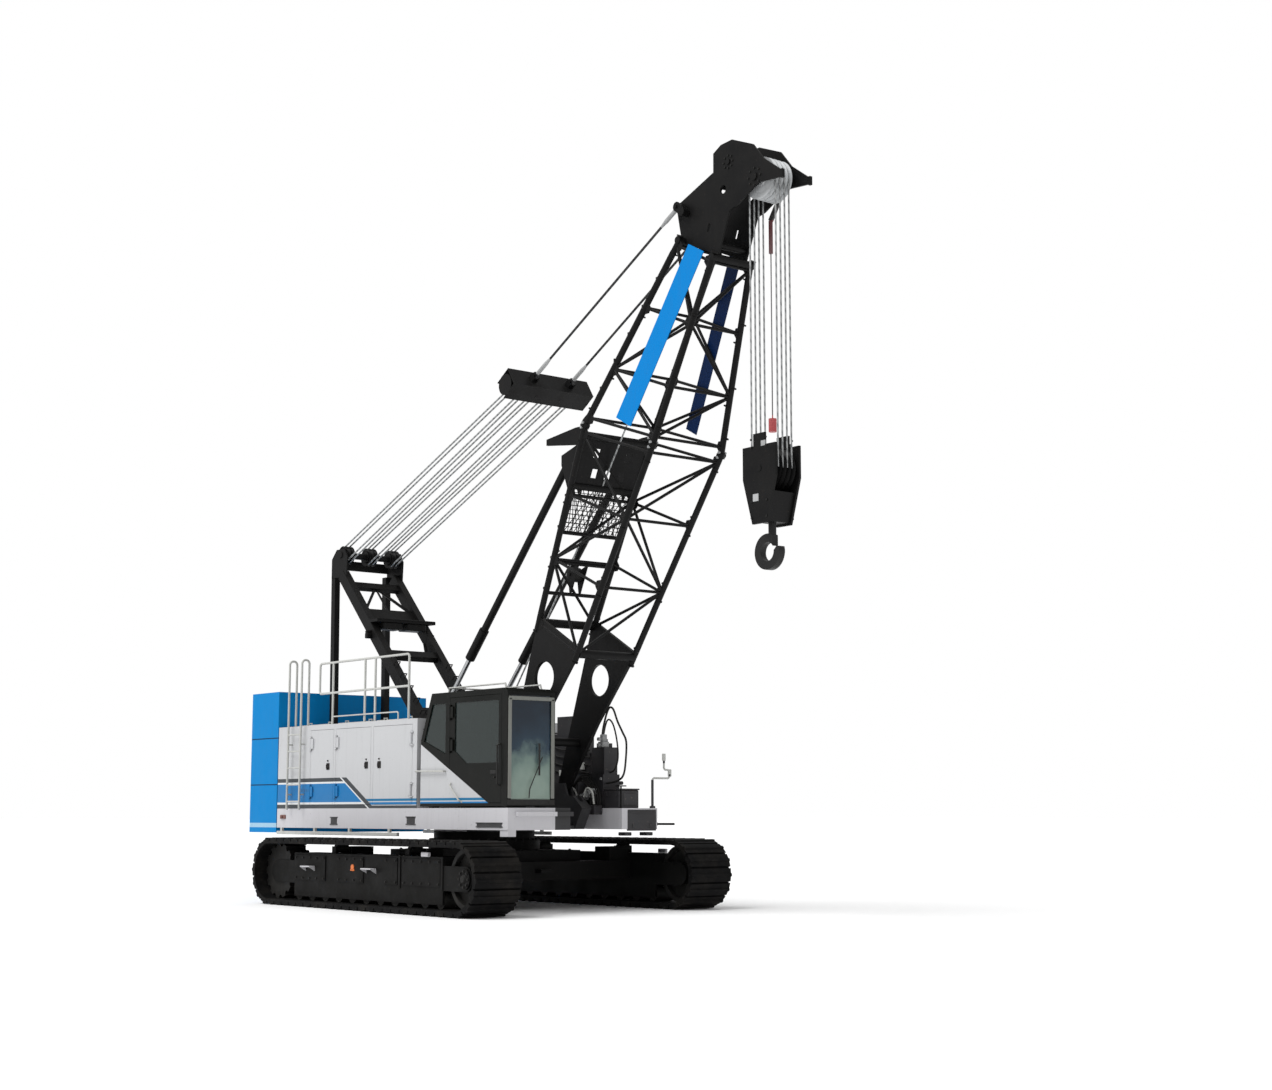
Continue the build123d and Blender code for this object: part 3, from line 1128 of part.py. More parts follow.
# winch: name, axle x, axle z, drum radius, flange radius
WINCHES = (
    ("winch_front", 250.0, 2330.0, 240.0, 370.0),
    ("winch_rear", -900.0, 2330.0, 240.0, 370.0),
    ("winch_boom", -2300.0, 2230.0, 200.0, 300.0),
)
WINCH_HALF = 380.0


def winch_frames():
    """The bearing cheeks and axles that carry the three winch drums."""
    pieces = []
    for name, x, z, drum, flange in WINCHES:
        cheek = side_plate([(x - 300.0, GIRDER_TOP), (x + 300.0, GIRDER_TOP), (x + 110.0, z + 110.0),
                            (x - 110.0, z + 110.0)], WINCH_HALF + SIDE_GAP, GIRDER_INNER + 25.0)
        pieces.append(joined(both_sides([cheek]) + [cross_rod((x, z), -WINCH_HALF - 20.0, WINCH_HALF + 20.0, 60.0)]))
    return apart(pieces)


def winch_drum(x, z, drum, flange):
    pieces = [cross_rod((x, z), -WINCH_HALF, WINCH_HALF, drum)]
    for side in (-1, 1):
        y0, y1 = sorted((side * (WINCH_HALF - 30.0), side * WINCH_HALF))
        pieces.append(cross_rod((x, z), y0, y1, flange))
    return joined(pieces) - cross_rod((x, z), -WINCH_HALF - 1.0, WINCH_HALF + 1.0, 60.0 + PIN_GAP)


# ---------------------------------------------------------------- head sheaves, hook block and hook

SHEAVE_PLACES = tuple((i - 1.5) * SHEAVE_PITCH for i in range(4))


def head_sheaves():
    return sheaves(HEAD_AXLE, SHEAVE_PLACES, SHEAVE_RADIUS, ROPE_LINE, SHEAVE_WIDTH, AXLE_RADIUS + PIN_GAP)


def guide_sheaves():
    return sheaves(GUIDE_AXLE, (-SHEAVE_PITCH / 2, SHEAVE_PITCH / 2), GUIDE_RADIUS, GUIDE_RADIUS - 40.0, SHEAVE_WIDTH,
                   45.0 + PIN_GAP)


OVERHOIST_DROP = 480.0
OVERHOIST_BODY = 510.0
OVERHOIST_WEIGHT_Z = BLOCK_TOP + 420.0


def overhoist_line():
    """The over-hoist line: a hanger on the head axle, its cylinder, its line and its weight."""
    x, y, top = OVERHOIST_X, OVERHOIST_Y, HEAD_AXLE[1] - OVERHOIST_DROP
    hanger = joined([
        cross_rod(HEAD_AXLE, y - OVERHOIST_HALF, y + OVERHOIST_HALF, 95.0),
        box_beam(HEAD_AXLE, (x, top), y - 15.0, y + 15.0, 90.0),
        rod((x, y, top - OVERHOIST_BODY), (x, y, top), 32.0),
        rod((x, y, OVERHOIST_WEIGHT_Z), (x, y, top - OVERHOIST_BODY + 20.0), 9.0),
        rod((x, y, OVERHOIST_WEIGHT_Z - 100.0), (x, y, OVERHOIST_WEIGHT_Z + 100.0), 60.0),
    ])
    return hanger - cross_rod(HEAD_AXLE, y - OVERHOIST_HALF - 1.0, y + OVERHOIST_HALF + 1.0, AXLE_RADIUS + PIN_GAP)


CHEEK_INNER = 215.0
CHEEK_OUTER = 255.0
BLOCK_AXLE = (BLOCK_X, BLOCK_AXLE_Z)
BLOCK_AXLE_RADIUS = 50.0
SWIVEL_FLOOR = 5890.0
SWIVEL_RADIUS = 92.0
SHANK_RADIUS = 58.0
# the cheek's outline, one half: distance from the middle, height
CHEEK_HALF = ((120.0, BLOCK_TOP + 180.0), (120.0, BLOCK_TOP), (350.0, BLOCK_TOP), (350.0, 6400.0), (155.0, BLOCK_BOTTOM))


def hook_block():
    """The hook block: cheek plates, axle and the swivel head."""
    outline = [(BLOCK_X + x, z) for x, z in CHEEK_HALF] + [(BLOCK_X - x, z) for x, z in reversed(CHEEK_HALF)]
    cheeks = both_sides([side_plate(outline, CHEEK_INNER, CHEEK_OUTER)])
    low = [(BLOCK_X - 250.0, 6190.0), (BLOCK_X + 250.0, 6190.0), (BLOCK_X + 130.0, 5760.0), (BLOCK_X - 130.0, 5760.0)]
    saddle = side_plate(low, -CHEEK_INNER, CHEEK_INNER)
    saddle -= rod((BLOCK_X, 0, 5700.0), (BLOCK_X, 0, SWIVEL_FLOOR + 1.0), SHANK_RADIUS + PIN_GAP)
    saddle -= rod((BLOCK_X, 0, SWIVEL_FLOOR), (BLOCK_X, 0, SWIVEL_FLOOR + 120.0), SWIVEL_RADIUS)
    axle = cross_rod(BLOCK_AXLE, -CHEEK_OUTER - 7.0, CHEEK_OUTER + 7.0, BLOCK_AXLE_RADIUS)
    return joined(cheeks + [saddle, axle])


def block_sheaves():
    return sheaves(BLOCK_AXLE, SHEAVE_PLACES, SHEAVE_RADIUS, ROPE_LINE, SHEAVE_WIDTH, BLOCK_AXLE_RADIUS + PIN_GAP)


def hoist_ropes():
    """The falls between the head's and the block's sheaves."""
    falls = []
    for y in SHEAVE_PLACES:
        for side in (-1, 1):
            x = HEAD_AXLE[0] + side * (ROPE_LINE + 0.4)
            falls.append(rod((x, y, BLOCK_AXLE_Z), (x, y, HEAD_AXLE[1]), ROPE_RADIUS))
    return apart(falls)


HOOK_SETBACK = 60.0


def hook():
    """The hook, its shank and the collar that turns in the block's swivel."""
    half = HOOK_THICK / 2
    x, z = BLOCK_X - HOOK_SETBACK, HOOK_CENTRE_Z
    ring = cross_rod((x, z), -half, half, HOOK_RADIUS) - cross_rod((x, z), -half, half, HOOK_THROAT)
    ring -= block(BLOCK_X + SHANK_RADIUS, x + HOOK_RADIUS + 1.0, -half, half, z + 10.0, z + HOOK_RADIUS + 1.0)
    tip = side_plate([(x + HOOK_THROAT, z + 9.0), (x + HOOK_RADIUS, z + 9.0), (x + HOOK_RADIUS - 10.0, z + 60.0),
                      (x + HOOK_THROAT + 55.0, z + 60.0)], -half, half)
    shank = rod((BLOCK_X, 0, z + HOOK_THROAT + 20.0), (BLOCK_X, 0, SWIVEL_FLOOR + 60.0), SHANK_RADIUS)
    collar = rod((BLOCK_X, 0, SWIVEL_FLOOR + PIN_GAP), (BLOCK_X, 0, SWIVEL_FLOOR + 90.0), SWIVEL_RADIUS - PIN_GAP)
    return joined([ring, tip, shank, collar])


# ---------------------------------------------------------------- rails and ladder

RAIL_RADIUS = 20.0
RAIL_TOP = HOUSE_TOP + 1100.0
RAIL_MIDDLE = HOUSE_TOP + 560.0
RAIL_LOW = HOUSE_TOP + 134.0
RAIL_POSTS = (-2530.0, -1440.0, -1100.0, -20.0)
RAIL_END = -3000.0
LADDER_STILES = (-3850.0, -3400.0)
LADDER_Y = -HOUSE_HALF_WIDTH - 89.0
LADDER_FOOT = DECK_TOP - 24.0
LADDER_HEAD = 4330.0
RUNG_PITCH = 300.0


def bent_rod(points, radius, bend):
    """A round bar through points, with its corners bent to a radius."""
    path = FilletPolyline(*points, radius=bend)
    return sweep(Plane(origin=path @ 0, z_dir=path % 0) * Circle(radius), path=path)


def handrails():
    """Posts and rails on the right roof edge, a low rail beside them and the mirror rod on the left deck."""
    y, first, last = -HOUSE_HALF_WIDTH + 60.0, RAIL_POSTS[0], RAIL_POSTS[-1]
    frame_rod = bent_rod([(last, y, HOUSE_TOP), (last, y, RAIL_TOP), (RAIL_END, y, RAIL_TOP),
                          (RAIL_END, y, RAIL_MIDDLE), (last, y, RAIL_MIDDLE)], RAIL_RADIUS, 60.0)
    posts = [rod((x, y, HOUSE_TOP), (x, y, RAIL_TOP), RAIL_RADIUS) for x in RAIL_POSTS[:-1]]
    near = y - 30.0
    low = bent_rod([(first + 50.0, near, HOUSE_TOP), (first + 50.0, near, RAIL_LOW), (last - 280.0, near, RAIL_LOW),
                    (last - 280.0, near, HOUSE_TOP)], 12.0, 40.0)
    x, y = LEFT_DECK_FRONT - 50.0, HOUSE_HALF_WIDTH - 61.0
    lifts = ((0.0, 0.0), (0.0, 496.0), (370.0, 496.0), (370.0, 636.0), (250.0, 636.0), (250.0, 766.0))
    mirror_rod = bent_rod([(x, y + out, DECK_TOP + up) for out, up in lifts], 16.0, 45.0)
    return apart([joined([frame_rod] + posts), low, mirror_rod])


def ladder():
    """The ladder up the right house, with its hoops over the roof edge."""
    wall, roof_y = -HOUSE_HALF_WIDTH, -HOUSE_HALF_WIDTH + 60.0
    pieces = []
    for x in LADDER_STILES:
        pieces.append(bent_rod([(x, LADDER_Y, LADDER_FOOT), (x, LADDER_Y, LADDER_HEAD), (x, roof_y, LADDER_HEAD),
                                (x, roof_y, HOUSE_TOP)], RAIL_RADIUS, 70.0))
        for z in (DECK_TOP + 250.0, DECK_TOP + 1150.0):
            pieces.append(rod((x, LADDER_Y, z), (x, wall, z), 14.0))
    z = LADDER_FOOT + 150.0
    while z < HOUSE_TOP + 60.0:
        pieces.append(rod((LADDER_STILES[0], LADDER_Y, z), (LADDER_STILES[1], LADDER_Y, z), 14.0))
        z += RUNG_PITCH
    return joined(pieces)


# ---------------------------------------------------------------- build

os.makedirs("parts", exist_ok=True)
for side, word in ((-1, "right"), (1, "left")):
    write(f"track_{word}", track(side))
    write(f"frame_{word}", side_frame(side))
write("track_wheels", track_wheels())
write("carbody", carbody())
write("slew_ring", slew_ring())
frame = upper_frame()
write("upper_frame", frame)
for level, word in enumerate(("base", "middle", "top")):
    write(f"counterweight_{word}", counterweight(level))
house = house_right()
write("house_right", house)
write("house_left", mirrored(house))
for word, rear, front, end in DOOR_BAYS:
    door = house_door(rear, front, end)
    write(f"door_right_{word}", door)
    write(f"door_left_{word}", mirrored(door))
write("engine", engine())
write("tanks", tanks())
write("front_machinery", front_machinery())
write("cab_shell", cab_shell())
write("cab_side_panel", cab_side_panel())
write("cab_glass", cab_glass())
write("cab_door", cab_door())
write("door_glass", door_glass())
write("cab_seat", cab_seat())
rear_legs = gantry_rear() - frame
write("gantry_rear", rear_legs)
write("gantry_front", gantry_front() - frame - rear_legs)
write("gantry_sheaves", gantry_sheaves())
write("bridle", bridle())
write("stays", stays())
write("bridle_sheaves", bridle_sheaves())
head = boom_head()
upper = boom_upper() - joint_pins() - head
write("boom_lower", boom_lower())
write("boom_upper", upper)
write("boom_head", head)
write("boom_roller", boom_roller())
write("sign_boards", sign_boards() - upper)
write("backstop_tubes", backstop_tubes())
write("backstop_rods", backstop_rods())
write("winch_frames", winch_frames())
for name, x, z, drum, flange in WINCHES:
    write(name, winch_drum(x, z, drum, flange))
write("head_sheaves", head_sheaves())
write("guide_sheaves", guide_sheaves())
write("overhoist_line", overhoist_line())
write("hook_block", hook_block())
write("block_sheaves", block_sheaves())
write("hoist_ropes", hoist_ropes())
write("hook", hook())
write("handrails", handrails())
write("ladder", ladder())
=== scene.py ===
# %% [markdown]
# # A crawler crane, dressed over its CAD frame
#
# The frame holds the machine's solids: tracks, house, cab, gantry, lattice boom, head, hook block.
# Each cell below adds one finish or one small piece. A markdown cell before it says what the thing
# is on the real machine, how it could be made, and why this way was taken.
# Lengths are metres. +X is forward, +Y is the machine's left, +Z is up, and the ground is z = 0.

# %% Load the frame
import math

import bmesh
import bpy
from mathutils import Matrix, Vector


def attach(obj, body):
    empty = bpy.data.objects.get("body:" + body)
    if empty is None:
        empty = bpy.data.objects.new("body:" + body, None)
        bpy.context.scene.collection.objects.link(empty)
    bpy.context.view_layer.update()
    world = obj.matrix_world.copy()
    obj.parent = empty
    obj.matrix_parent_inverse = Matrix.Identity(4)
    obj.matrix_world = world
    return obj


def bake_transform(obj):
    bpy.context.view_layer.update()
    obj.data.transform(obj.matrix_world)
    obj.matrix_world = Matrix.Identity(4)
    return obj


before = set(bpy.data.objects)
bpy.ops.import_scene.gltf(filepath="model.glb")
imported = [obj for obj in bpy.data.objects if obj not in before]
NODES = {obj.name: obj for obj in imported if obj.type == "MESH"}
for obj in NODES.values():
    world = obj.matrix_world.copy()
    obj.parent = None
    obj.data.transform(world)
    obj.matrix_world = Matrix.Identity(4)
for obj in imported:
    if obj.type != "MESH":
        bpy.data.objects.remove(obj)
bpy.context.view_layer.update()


# %% [markdown]
# ## How finishes are made
#
# Every finish is a Principled shader with procedural detail in object coordinates. The frame's nodes
# keep their place in their vertices, so object coordinates are metres on the machine: a stripe or a
# dust line can be put at its real height. An image texture would need unwrapping 54 nodes, so it is
# not used.

# %% Node and colour helpers


def linear(code):
    """A six-digit sRGB hex colour as linear RGBA."""
    values = [int(code[i:i + 2], 16) / 255 for i in (0, 2, 4)]
    return tuple(v / 12.92 if v <= 0.04045 else ((v + 0.055) / 1.055) ** 2.4 for v in values) + (1.0,)


def feed(tree, node, inputs):
    """Fills a node's sockets, by name or number, with a value, a socket, or a node for its first output."""
    for key, value in inputs.items():
        if isinstance(value, bpy.types.Node):
            value = value.outputs[0]
        if isinstance(value, bpy.types.NodeSocket):
            tree.links.new(value, node.inputs[key])
        else:
            node.inputs[key].default_value = value


def add(tree, kind, inputs=None, **settings):
    """Adds a shader node with its settings and its inputs, given as for feed."""
    node = tree.nodes.new("ShaderNode" + kind)
    for key, value in settings.items():
        setattr(node, key, value)
    feed(tree, node, inputs or {})
    return node


def set_stops(node, stops, interpolation="LINEAR"):
    """Gives a colour ramp its (position, RGBA) stops and returns the node."""
    ramp = node.color_ramp
    ramp.interpolation = interpolation
    while len(ramp.elements) > 1:
        ramp.elements.remove(ramp.elements[-1])
    ramp.elements[0].position, ramp.elements[0].color = stops[0]
    for position, colour in stops[1:]:
        ramp.elements.new(position).color = colour
    return node


def new_material(name, roughness, metallic=0.0):
    """A material with its Principled shader's plain numbers set: (material, tree, shader)."""
    material = bpy.data.materials.new(name)
    material.use_nodes = True
    tree = material.node_tree
    shader = tree.nodes["Principled BSDF"]
    feed(tree, shader, {"Roughness": roughness, "Metallic": metallic})
    return material, tree, shader


def object_place(tree):
    """The object coordinates, as a point and as a node with X, Y and Z."""
    point = add(tree, "TexCoord").outputs["Object"]
    return point, add(tree, "SeparateXYZ", {"Vector": point}).outputs


def dress(names, material):
    """Puts a material on CAD nodes."""
    for name in names:
        slots = NODES[name].data.materials
        slots.clear()
        slots.append(material)


# %% [markdown]
# ## Paint on steel
#
# Painted plate on a working crane is never one colour: it fades in patches a metre or two wide, rain
# draws streaks down it, and dust settles on its upper faces and low parts. One function makes this
# for any base colour. Fade is a wide noise, streaks are a noise stretched along z, dust is a noise
# masked by the upward part of the normal and by height above ground. A baked dirt map would look the
# same and could not be read or changed.

# %% The painted steel finish
FADE_SIZE = 1.6        # metres between faded patches
STREAK_WIDTH = 0.05    # metres across one rain streak, drawn wider than real so that it shows
STREAK_LENGTH = 0.9
DUST_SIZE = 0.35
SPECK_SIZE = 0.03      # chips and stone marks, drawn large enough to show
ORANGE_PEEL = 0.012    # real orange peel is 1 to 2 mm: drawn coarser so that it shows at all


def weathered(tree, shader, base, dust="8F877A", fade=0.12, streaks=0.2, dust_amount=0.35, low=None,
              speck="3A2A20", specks=0.5, rough=(0.35, 0.65), bump=0.0015, gloss=0.3):
    """Weathering over a base colour; low = (height, amount) is dust near the ground."""
    point = add(tree, "TexCoord").outputs["Object"]
    wide = add(tree, "TexNoise", {"Vector": point, "Scale": 1 / FADE_SIZE, "Detail": 3.0})
    wide_mask = add(tree, "MapRange", {"Value": wide, 1: 0.35, 2: 0.65, 3: 0.0, 4: fade})
    colour = add(tree, "MixRGB", {0: wide_mask, 1: base, 2: linear("FFFFFF")})
    grid = (1 / STREAK_WIDTH, 1 / STREAK_WIDTH, 1 / STREAK_LENGTH)
    stretch = add(tree, "Mapping", {"Vector": point, "Scale": grid})
    streak = add(tree, "TexNoise", {"Vector": stretch, "Scale": 1.0, "Detail": 4.0})
    streak_mask = add(tree, "MapRange", {"Value": streak, 1: 0.52, 2: 0.78, 3: 0.0, 4: streaks})
    colour = add(tree, "MixRGB", {0: streak_mask, 1: colour, 2: linear("45403A")})
    normal = add(tree, "NewGeometry").outputs["Normal"]
    up = add(tree, "SeparateXYZ", {"Vector": normal}).outputs["Z"]
    up_mask = add(tree, "MapRange", {"Value": up, 1: 0.5, 2: 1.0, 3: 0.25, 4: 1.0})
    cloud = add(tree, "TexNoise", {"Vector": point, "Scale": 1 / DUST_SIZE, "Detail": 6.0, "Roughness": 0.65})
    cloud_mask = add(tree, "MapRange", {"Value": cloud, 1: 0.38, 2: 0.68, 3: 0.0, 4: dust_amount})
    dust_mask = add(tree, "Math", {0: cloud_mask, 1: up_mask}, operation="MULTIPLY")
    if low:
        height = add(tree, "SeparateXYZ", {"Vector": point}).outputs["Z"]
        low_mask = add(tree, "MapRange", {"Value": height, 1: 0.0, 2: low[0], 3: low[1], 4: 0.0})
        patchy = add(tree, "Math", {0: low_mask, 1: cloud}, operation="MULTIPLY")
        dust_mask = add(tree, "Math", {0: dust_mask, 1: patchy}, operation="ADD", use_clamp=True)
    colour = add(tree, "MixRGB", {0: dust_mask, 1: colour, 2: linear(dust)})
    fine = add(tree, "TexNoise", {"Vector": point, "Scale": 1 / SPECK_SIZE, "Detail": 2.0})
    chip_mask = add(tree, "MapRange", {"Value": fine, 1: 0.70, 2: 0.74, 3: 0.0, 4: specks})
    colour = add(tree, "MixRGB", {0: chip_mask, 1: colour, 2: linear(speck)})
    shine = add(tree, "MapRange", {"Value": cloud, 1: 0.3, 2: 0.7, 3: rough[0], 4: rough[1]})
    peel = add(tree, "TexNoise", {"Vector": point, "Scale": 1 / ORANGE_PEEL, "Detail": 2.0})
    relief = add(tree, "Bump", {"Height": peel, "Strength": 0.35, "Distance": bump})
    feed(tree, shader, {"Base Color": colour, "Roughness": shine, "Normal": relief,
                        "Specular IOR Level": gloss})


def painted(name, base, **look):
    """A weathered paint of one base colour."""
    material, tree, shader = new_material(name, 0.5)
    weathered(tree, shader, linear(base), **look)
    return material


# black alkyd enamel on rolled steel, brushed over many times
boom_paint = painted("black_enamel_steel", "0A0A0B", fade=0.002, streaks=0.03, dust_amount=0.04, speck="4B4238",
                     specks=0.3, rough=(0.35, 0.6), gloss=0.14)
# black enamel on the undercarriage, with mud dust near the ground
frame_paint = painted("black_enamel_undercarriage", "090909", fade=0.002, streaks=0.03, dust="6B675F",
                      dust_amount=0.04, low=(1.1, 0.03), specks=0.3, speck="4B4238", rough=(0.45, 0.75), gloss=0.12)
# grey-beige epoxy on the decks, and dark grey on the two girders between them, ahead of GIRDER_REAR
GIRDER_OUTER, GIRDER_REAR = 0.70, 0.45
deck_paint, tree, shader = new_material("grey_epoxy_deck", 0.5)
point, place = object_place(tree)
off_middle = add(tree, "Math", {0: place["Y"]}, operation="ABSOLUTE")
inside = add(tree, "Math", {0: off_middle, 1: GIRDER_OUTER}, operation="LESS_THAN")
ahead = add(tree, "Math", {0: place["X"], 1: GIRDER_REAR}, operation="GREATER_THAN")
girder = add(tree, "Math", {0: inside, 1: ahead}, operation="MULTIPLY")
deck_colour = add(tree, "MixRGB", {0: girder, 1: linear("C3C2C6"), 2: linear("2C2C2E")})
weathered(tree, shader, deck_colour, fade=0.02, streaks=0.08, dust="8C8983", dust_amount=0.1, specks=0.35,
          rough=(0.4, 0.65))
# light grey enamel on rails and ladder
rail_paint = painted("grey_enamel_rail", "B9BAB6", fade=0.1, streaks=0.25, specks=0.5, rough=(0.35, 0.6))
# black powder coat on the machinery cabinets and valve banks, stained by oil
cabinet_paint = painted("black_coat_cabinet", "2B2B2E", fade=0.03, dust="6A5A50", dust_amount=0.2, streaks=0.15,
                        specks=0.7, speck="8A7A70", rough=(0.3, 0.7))
print("paints", boom_paint.name, frame_paint.name, deck_paint.name, rail_paint.name, cabinet_paint.name)

# %% [markdown]
# ## House paint with its stripes
#
# The house sides are light grey. A long dark-bordered blue panel runs along their foot and ends in a
# slant, and two thin blue stripes carry on to the cab. On the real machine they are sprayed over
# masking tape. Here colour ramps over the height z draw the bands, and x + 1.77 z draws the slant:
# the stripes then run over doors, house and cab panel in one line, and a door carries its own part
# when it swings. Separate thin plates would need cutting round every door.

# %% The house paint
HOUSE_GREY = linear("BEBFC1")
STRIPE_BLUE = linear("0070AE")
STRIPE_DARK = linear("3A3E42")
STRIPE_LIGHT = linear("D9DBDC")
FRONT_BLUE = linear("086C98")
BAND_LOW, BAND_HIGH = 1.6, 2.4       # the ramp's heights
PANEL_TOP = 2.19
SKIN = 1.6                           # the stripes lie on faces further out than this
SLANT = 1.77                         # metres forward for each metre down
SLANT_FOOT = -1.01 + SLANT * 1.68    # x + SLANT z on the slanted edge


def banded(tree, height, low, high, bands):
    """A ramp of sharp bands over a height socket, from (height, colour) pairs between low and high."""
    share = add(tree, "MapRange", {"Value": height, 1: low, 2: high})
    stops = [((z - low) / (high - low), colour) for z, colour in bands]
    return set_stops(add(tree, "ValToRGB", {"Fac": share}), stops, "CONSTANT")


house_paint, tree, shader = new_material("grey_enamel_striped_house", 0.45)
point, place = object_place(tree)
rear = banded(tree, place["Z"], BAND_LOW, BAND_HIGH, (
    (1.6, STRIPE_DARK), (1.725, STRIPE_LIGHT), (1.76, STRIPE_BLUE), (2.09, STRIPE_LIGHT), (2.12, STRIPE_DARK),
    (PANEL_TOP, HOUSE_GREY)))
front = banded(tree, place["Z"], BAND_LOW, BAND_HIGH, (
    (1.6, STRIPE_DARK), (1.70, HOUSE_GREY), (1.715, STRIPE_BLUE), (1.755, HOUSE_GREY), (1.775, FRONT_BLUE),
    (1.815, HOUSE_GREY)))
rise = add(tree, "Math", {0: place["Z"], 1: SLANT}, operation="MULTIPLY")
slant = add(tree, "Math", {0: place["X"], 1: rise}, operation="ADD")
for edge, colour in ((-0.22, STRIPE_LIGHT), (-0.17, STRIPE_DARK), (0.0, front)):
    past = add(tree, "Math", {0: slant, 1: SLANT_FOOT + edge}, operation="GREATER_THAN")
    rear = add(tree, "MixRGB", {0: past, 1: rear, 2: colour})
above = add(tree, "Math", {0: place["Z"], 1: PANEL_TOP}, operation="GREATER_THAN")
rear = add(tree, "MixRGB", {0: above, 1: rear, 2: HOUSE_GREY})
side = add(tree, "Math", {0: place["Y"]}, operation="ABSOLUTE")
outside = add(tree, "Math", {0: side, 1: SKIN}, operation="GREATER_THAN")
house_colour = add(tree, "MixRGB", {0: outside, 1: HOUSE_GREY, 2: rear})
weathered(tree, shader, house_colour, fade=0.02, streaks=0.07, dust_amount=0.05, specks=0.2, rough=(0.3, 0.5),
          gloss=0.2)
print("house paint nodes", len(tree.nodes))

# %% [markdown]
# ## Counterweight paint
#
# The counterweight is three steel boxes filled with concrete, stacked and painted blue. The joints
# between them show as dark lines and the lowest box has a pale strip near its foot. The same height
# ramp idea gives both, at the boxes' real levels.

# %% The counterweight paint
WEIGHT_BLUE = linear("007DC0")
SEAM = linear("0A2A44")
WEIGHT_LOW, WEIGHT_HIGH = 1.2, 3.8
SEAM_HALF = 0.012                    # real joints are about 5 mm: drawn wider so that they show
weight_paint, tree, shader = new_material("blue_enamel_counterweight", 0.4)
point, place = object_place(tree)
levels = [(1.2, WEIGHT_BLUE), (1.31, linear("9CC0D6")), (1.385, WEIGHT_BLUE)]
for seam in (2.09, 2.94):
    levels += [(seam - SEAM_HALF, SEAM), (seam + SEAM_HALF, WEIGHT_BLUE)]
bands = banded(tree, place["Z"], WEIGHT_LOW, WEIGHT_HIGH, levels)
weathered(tree, shader, bands, fade=0.0, streaks=0.1, dust_amount=0.01, specks=0.3, rough=(0.35, 0.55), gloss=0.08)
print("counterweight bands", len(levels))

# %% [markdown]
# ## Cast track steel
#
# Track shoes are cast manganese steel. Their ground faces are polished bright by stones, and the rest
# is dark with baked mud. The polish is masked by distance from the loop's middle line, so it follows
# the lugs without any painting by hand.

# %% The track and wheel steels
TRACK_MIDDLE = 0.577                 # the crawler's middle height
POLISH_SIZE = 0.06
track_steel, tree, shader = new_material("cast_manganese_steel", 0.7, metallic=0.2)
point, place = object_place(tree)
grain = add(tree, "TexNoise", {"Vector": point, "Scale": 1 / POLISH_SIZE, "Detail": 6.0, "Roughness": 0.7})
mud = add(tree, "TexNoise", {"Vector": point, "Scale": 3.0, "Detail": 5.0})
drop = add(tree, "Math", {0: place["Z"], 1: TRACK_MIDDLE}, operation="SUBTRACT")
reach = add(tree, "Math", {0: drop}, operation="ABSOLUTE")
outer = add(tree, "MapRange", {"Value": reach, 1: 0.545, 2: 0.575, 3: 0.0, 4: 0.45})
polish = add(tree, "Math", {0: outer, 1: grain}, operation="MULTIPLY")
base = set_stops(add(tree, "ValToRGB", {"Fac": grain}),
                 [(0.3, linear("030303")), (0.55, linear("0A0A0B")), (0.75, linear("211F1E"))])
muddy = add(tree, "MapRange", {"Value": mud, 1: 0.45, 2: 0.7, 3: 0.0, 4: 0.08})
dirty = add(tree, "MixRGB", {0: muddy, 1: base, 2: linear("5E574C")})
colour = add(tree, "MixRGB", {0: polish, 1: dirty, 2: linear("5A5957")})
relief = add(tree, "Bump", {"Height": grain, "Strength": 0.6, "Distance": 0.004})
feed(tree, shader, {"Base Color": colour, "Normal": relief, "Specular IOR Level": 0.15})
wheel_steel = painted("cast_steel_wheels", "0E0E0E", fade=0.004, dust="6B675F", dust_amount=0.12, low=(1.2, 0.08),
                      rough=(0.5, 0.8), bump=0.003, gloss=0.25)
print("track steels", track_steel.name, wheel_steel.name)

# %% [markdown]
# ## Wire rope
#
# A hoist rope of this class is 26 mm thick with six strands laid round a core. One strand crosses the
# rope every 28 mm, too fine to show, so the lay is drawn at 80 mm. A diagonal wave gives the slanted
# strands on any straight rope, with painted shade darkening the valleys between them, and grease darkens it in
# patches.

# %% The rope steels
LAY_PITCH = 0.08
WAVE_TURN = 0.314                    # a wave texture repeats every 0.314 / scale metres


def rope_steel_of(name, light, dark):
    """Greased wire rope: strands of the light colour, with the dark colour as painted shade in the valleys between
    them.
    """
    material, tree, shader = new_material(name, 0.5, metallic=0.5)
    point = add(tree, "TexCoord").outputs["Object"]
    wave = add(tree, "TexWave", {"Vector": point, "Scale": WAVE_TURN / LAY_PITCH, "Distortion": 0.6,
                                 "Detail": 1.0}, bands_direction="DIAGONAL").outputs["Fac"]
    grease = add(tree, "TexNoise", {"Vector": point, "Scale": 2.2, "Detail": 5.0})
    # the wave's low valleys take the dark colour, painted shade between the strands
    strands_with_painted_shade = set_stops(add(tree, "ValToRGB", {"Fac": wave}),
                        [(0.1, linear(dark)), (0.5, linear(light)), (0.9, linear(light))])
    greasy = add(tree, "MapRange", {"Value": grease, 1: 0.5, 2: 0.75, 3: 0.0, 4: 0.35})
    colour = add(tree, "MixRGB", {0: greasy, 1: strands_with_painted_shade, 2: linear("5C5853")})
    relief = add(tree, "Bump", {"Height": wave, "Strength": 0.5, "Distance": 0.004})
    feed(tree, shader, {"Base Color": colour, "Normal": relief})
    return material


rope_steel = rope_steel_of("greased_wire_rope", "A9ABAB", "848687")
stay_steel = rope_steel_of("dark_pendant_rope", "343536", "1E1F20")
drum_rope = rope_steel_of("wound_drum_rope", "8B8A87", "4A4845")
print("ropes", rope_steel.name, stay_steel.name, drum_rope.name)
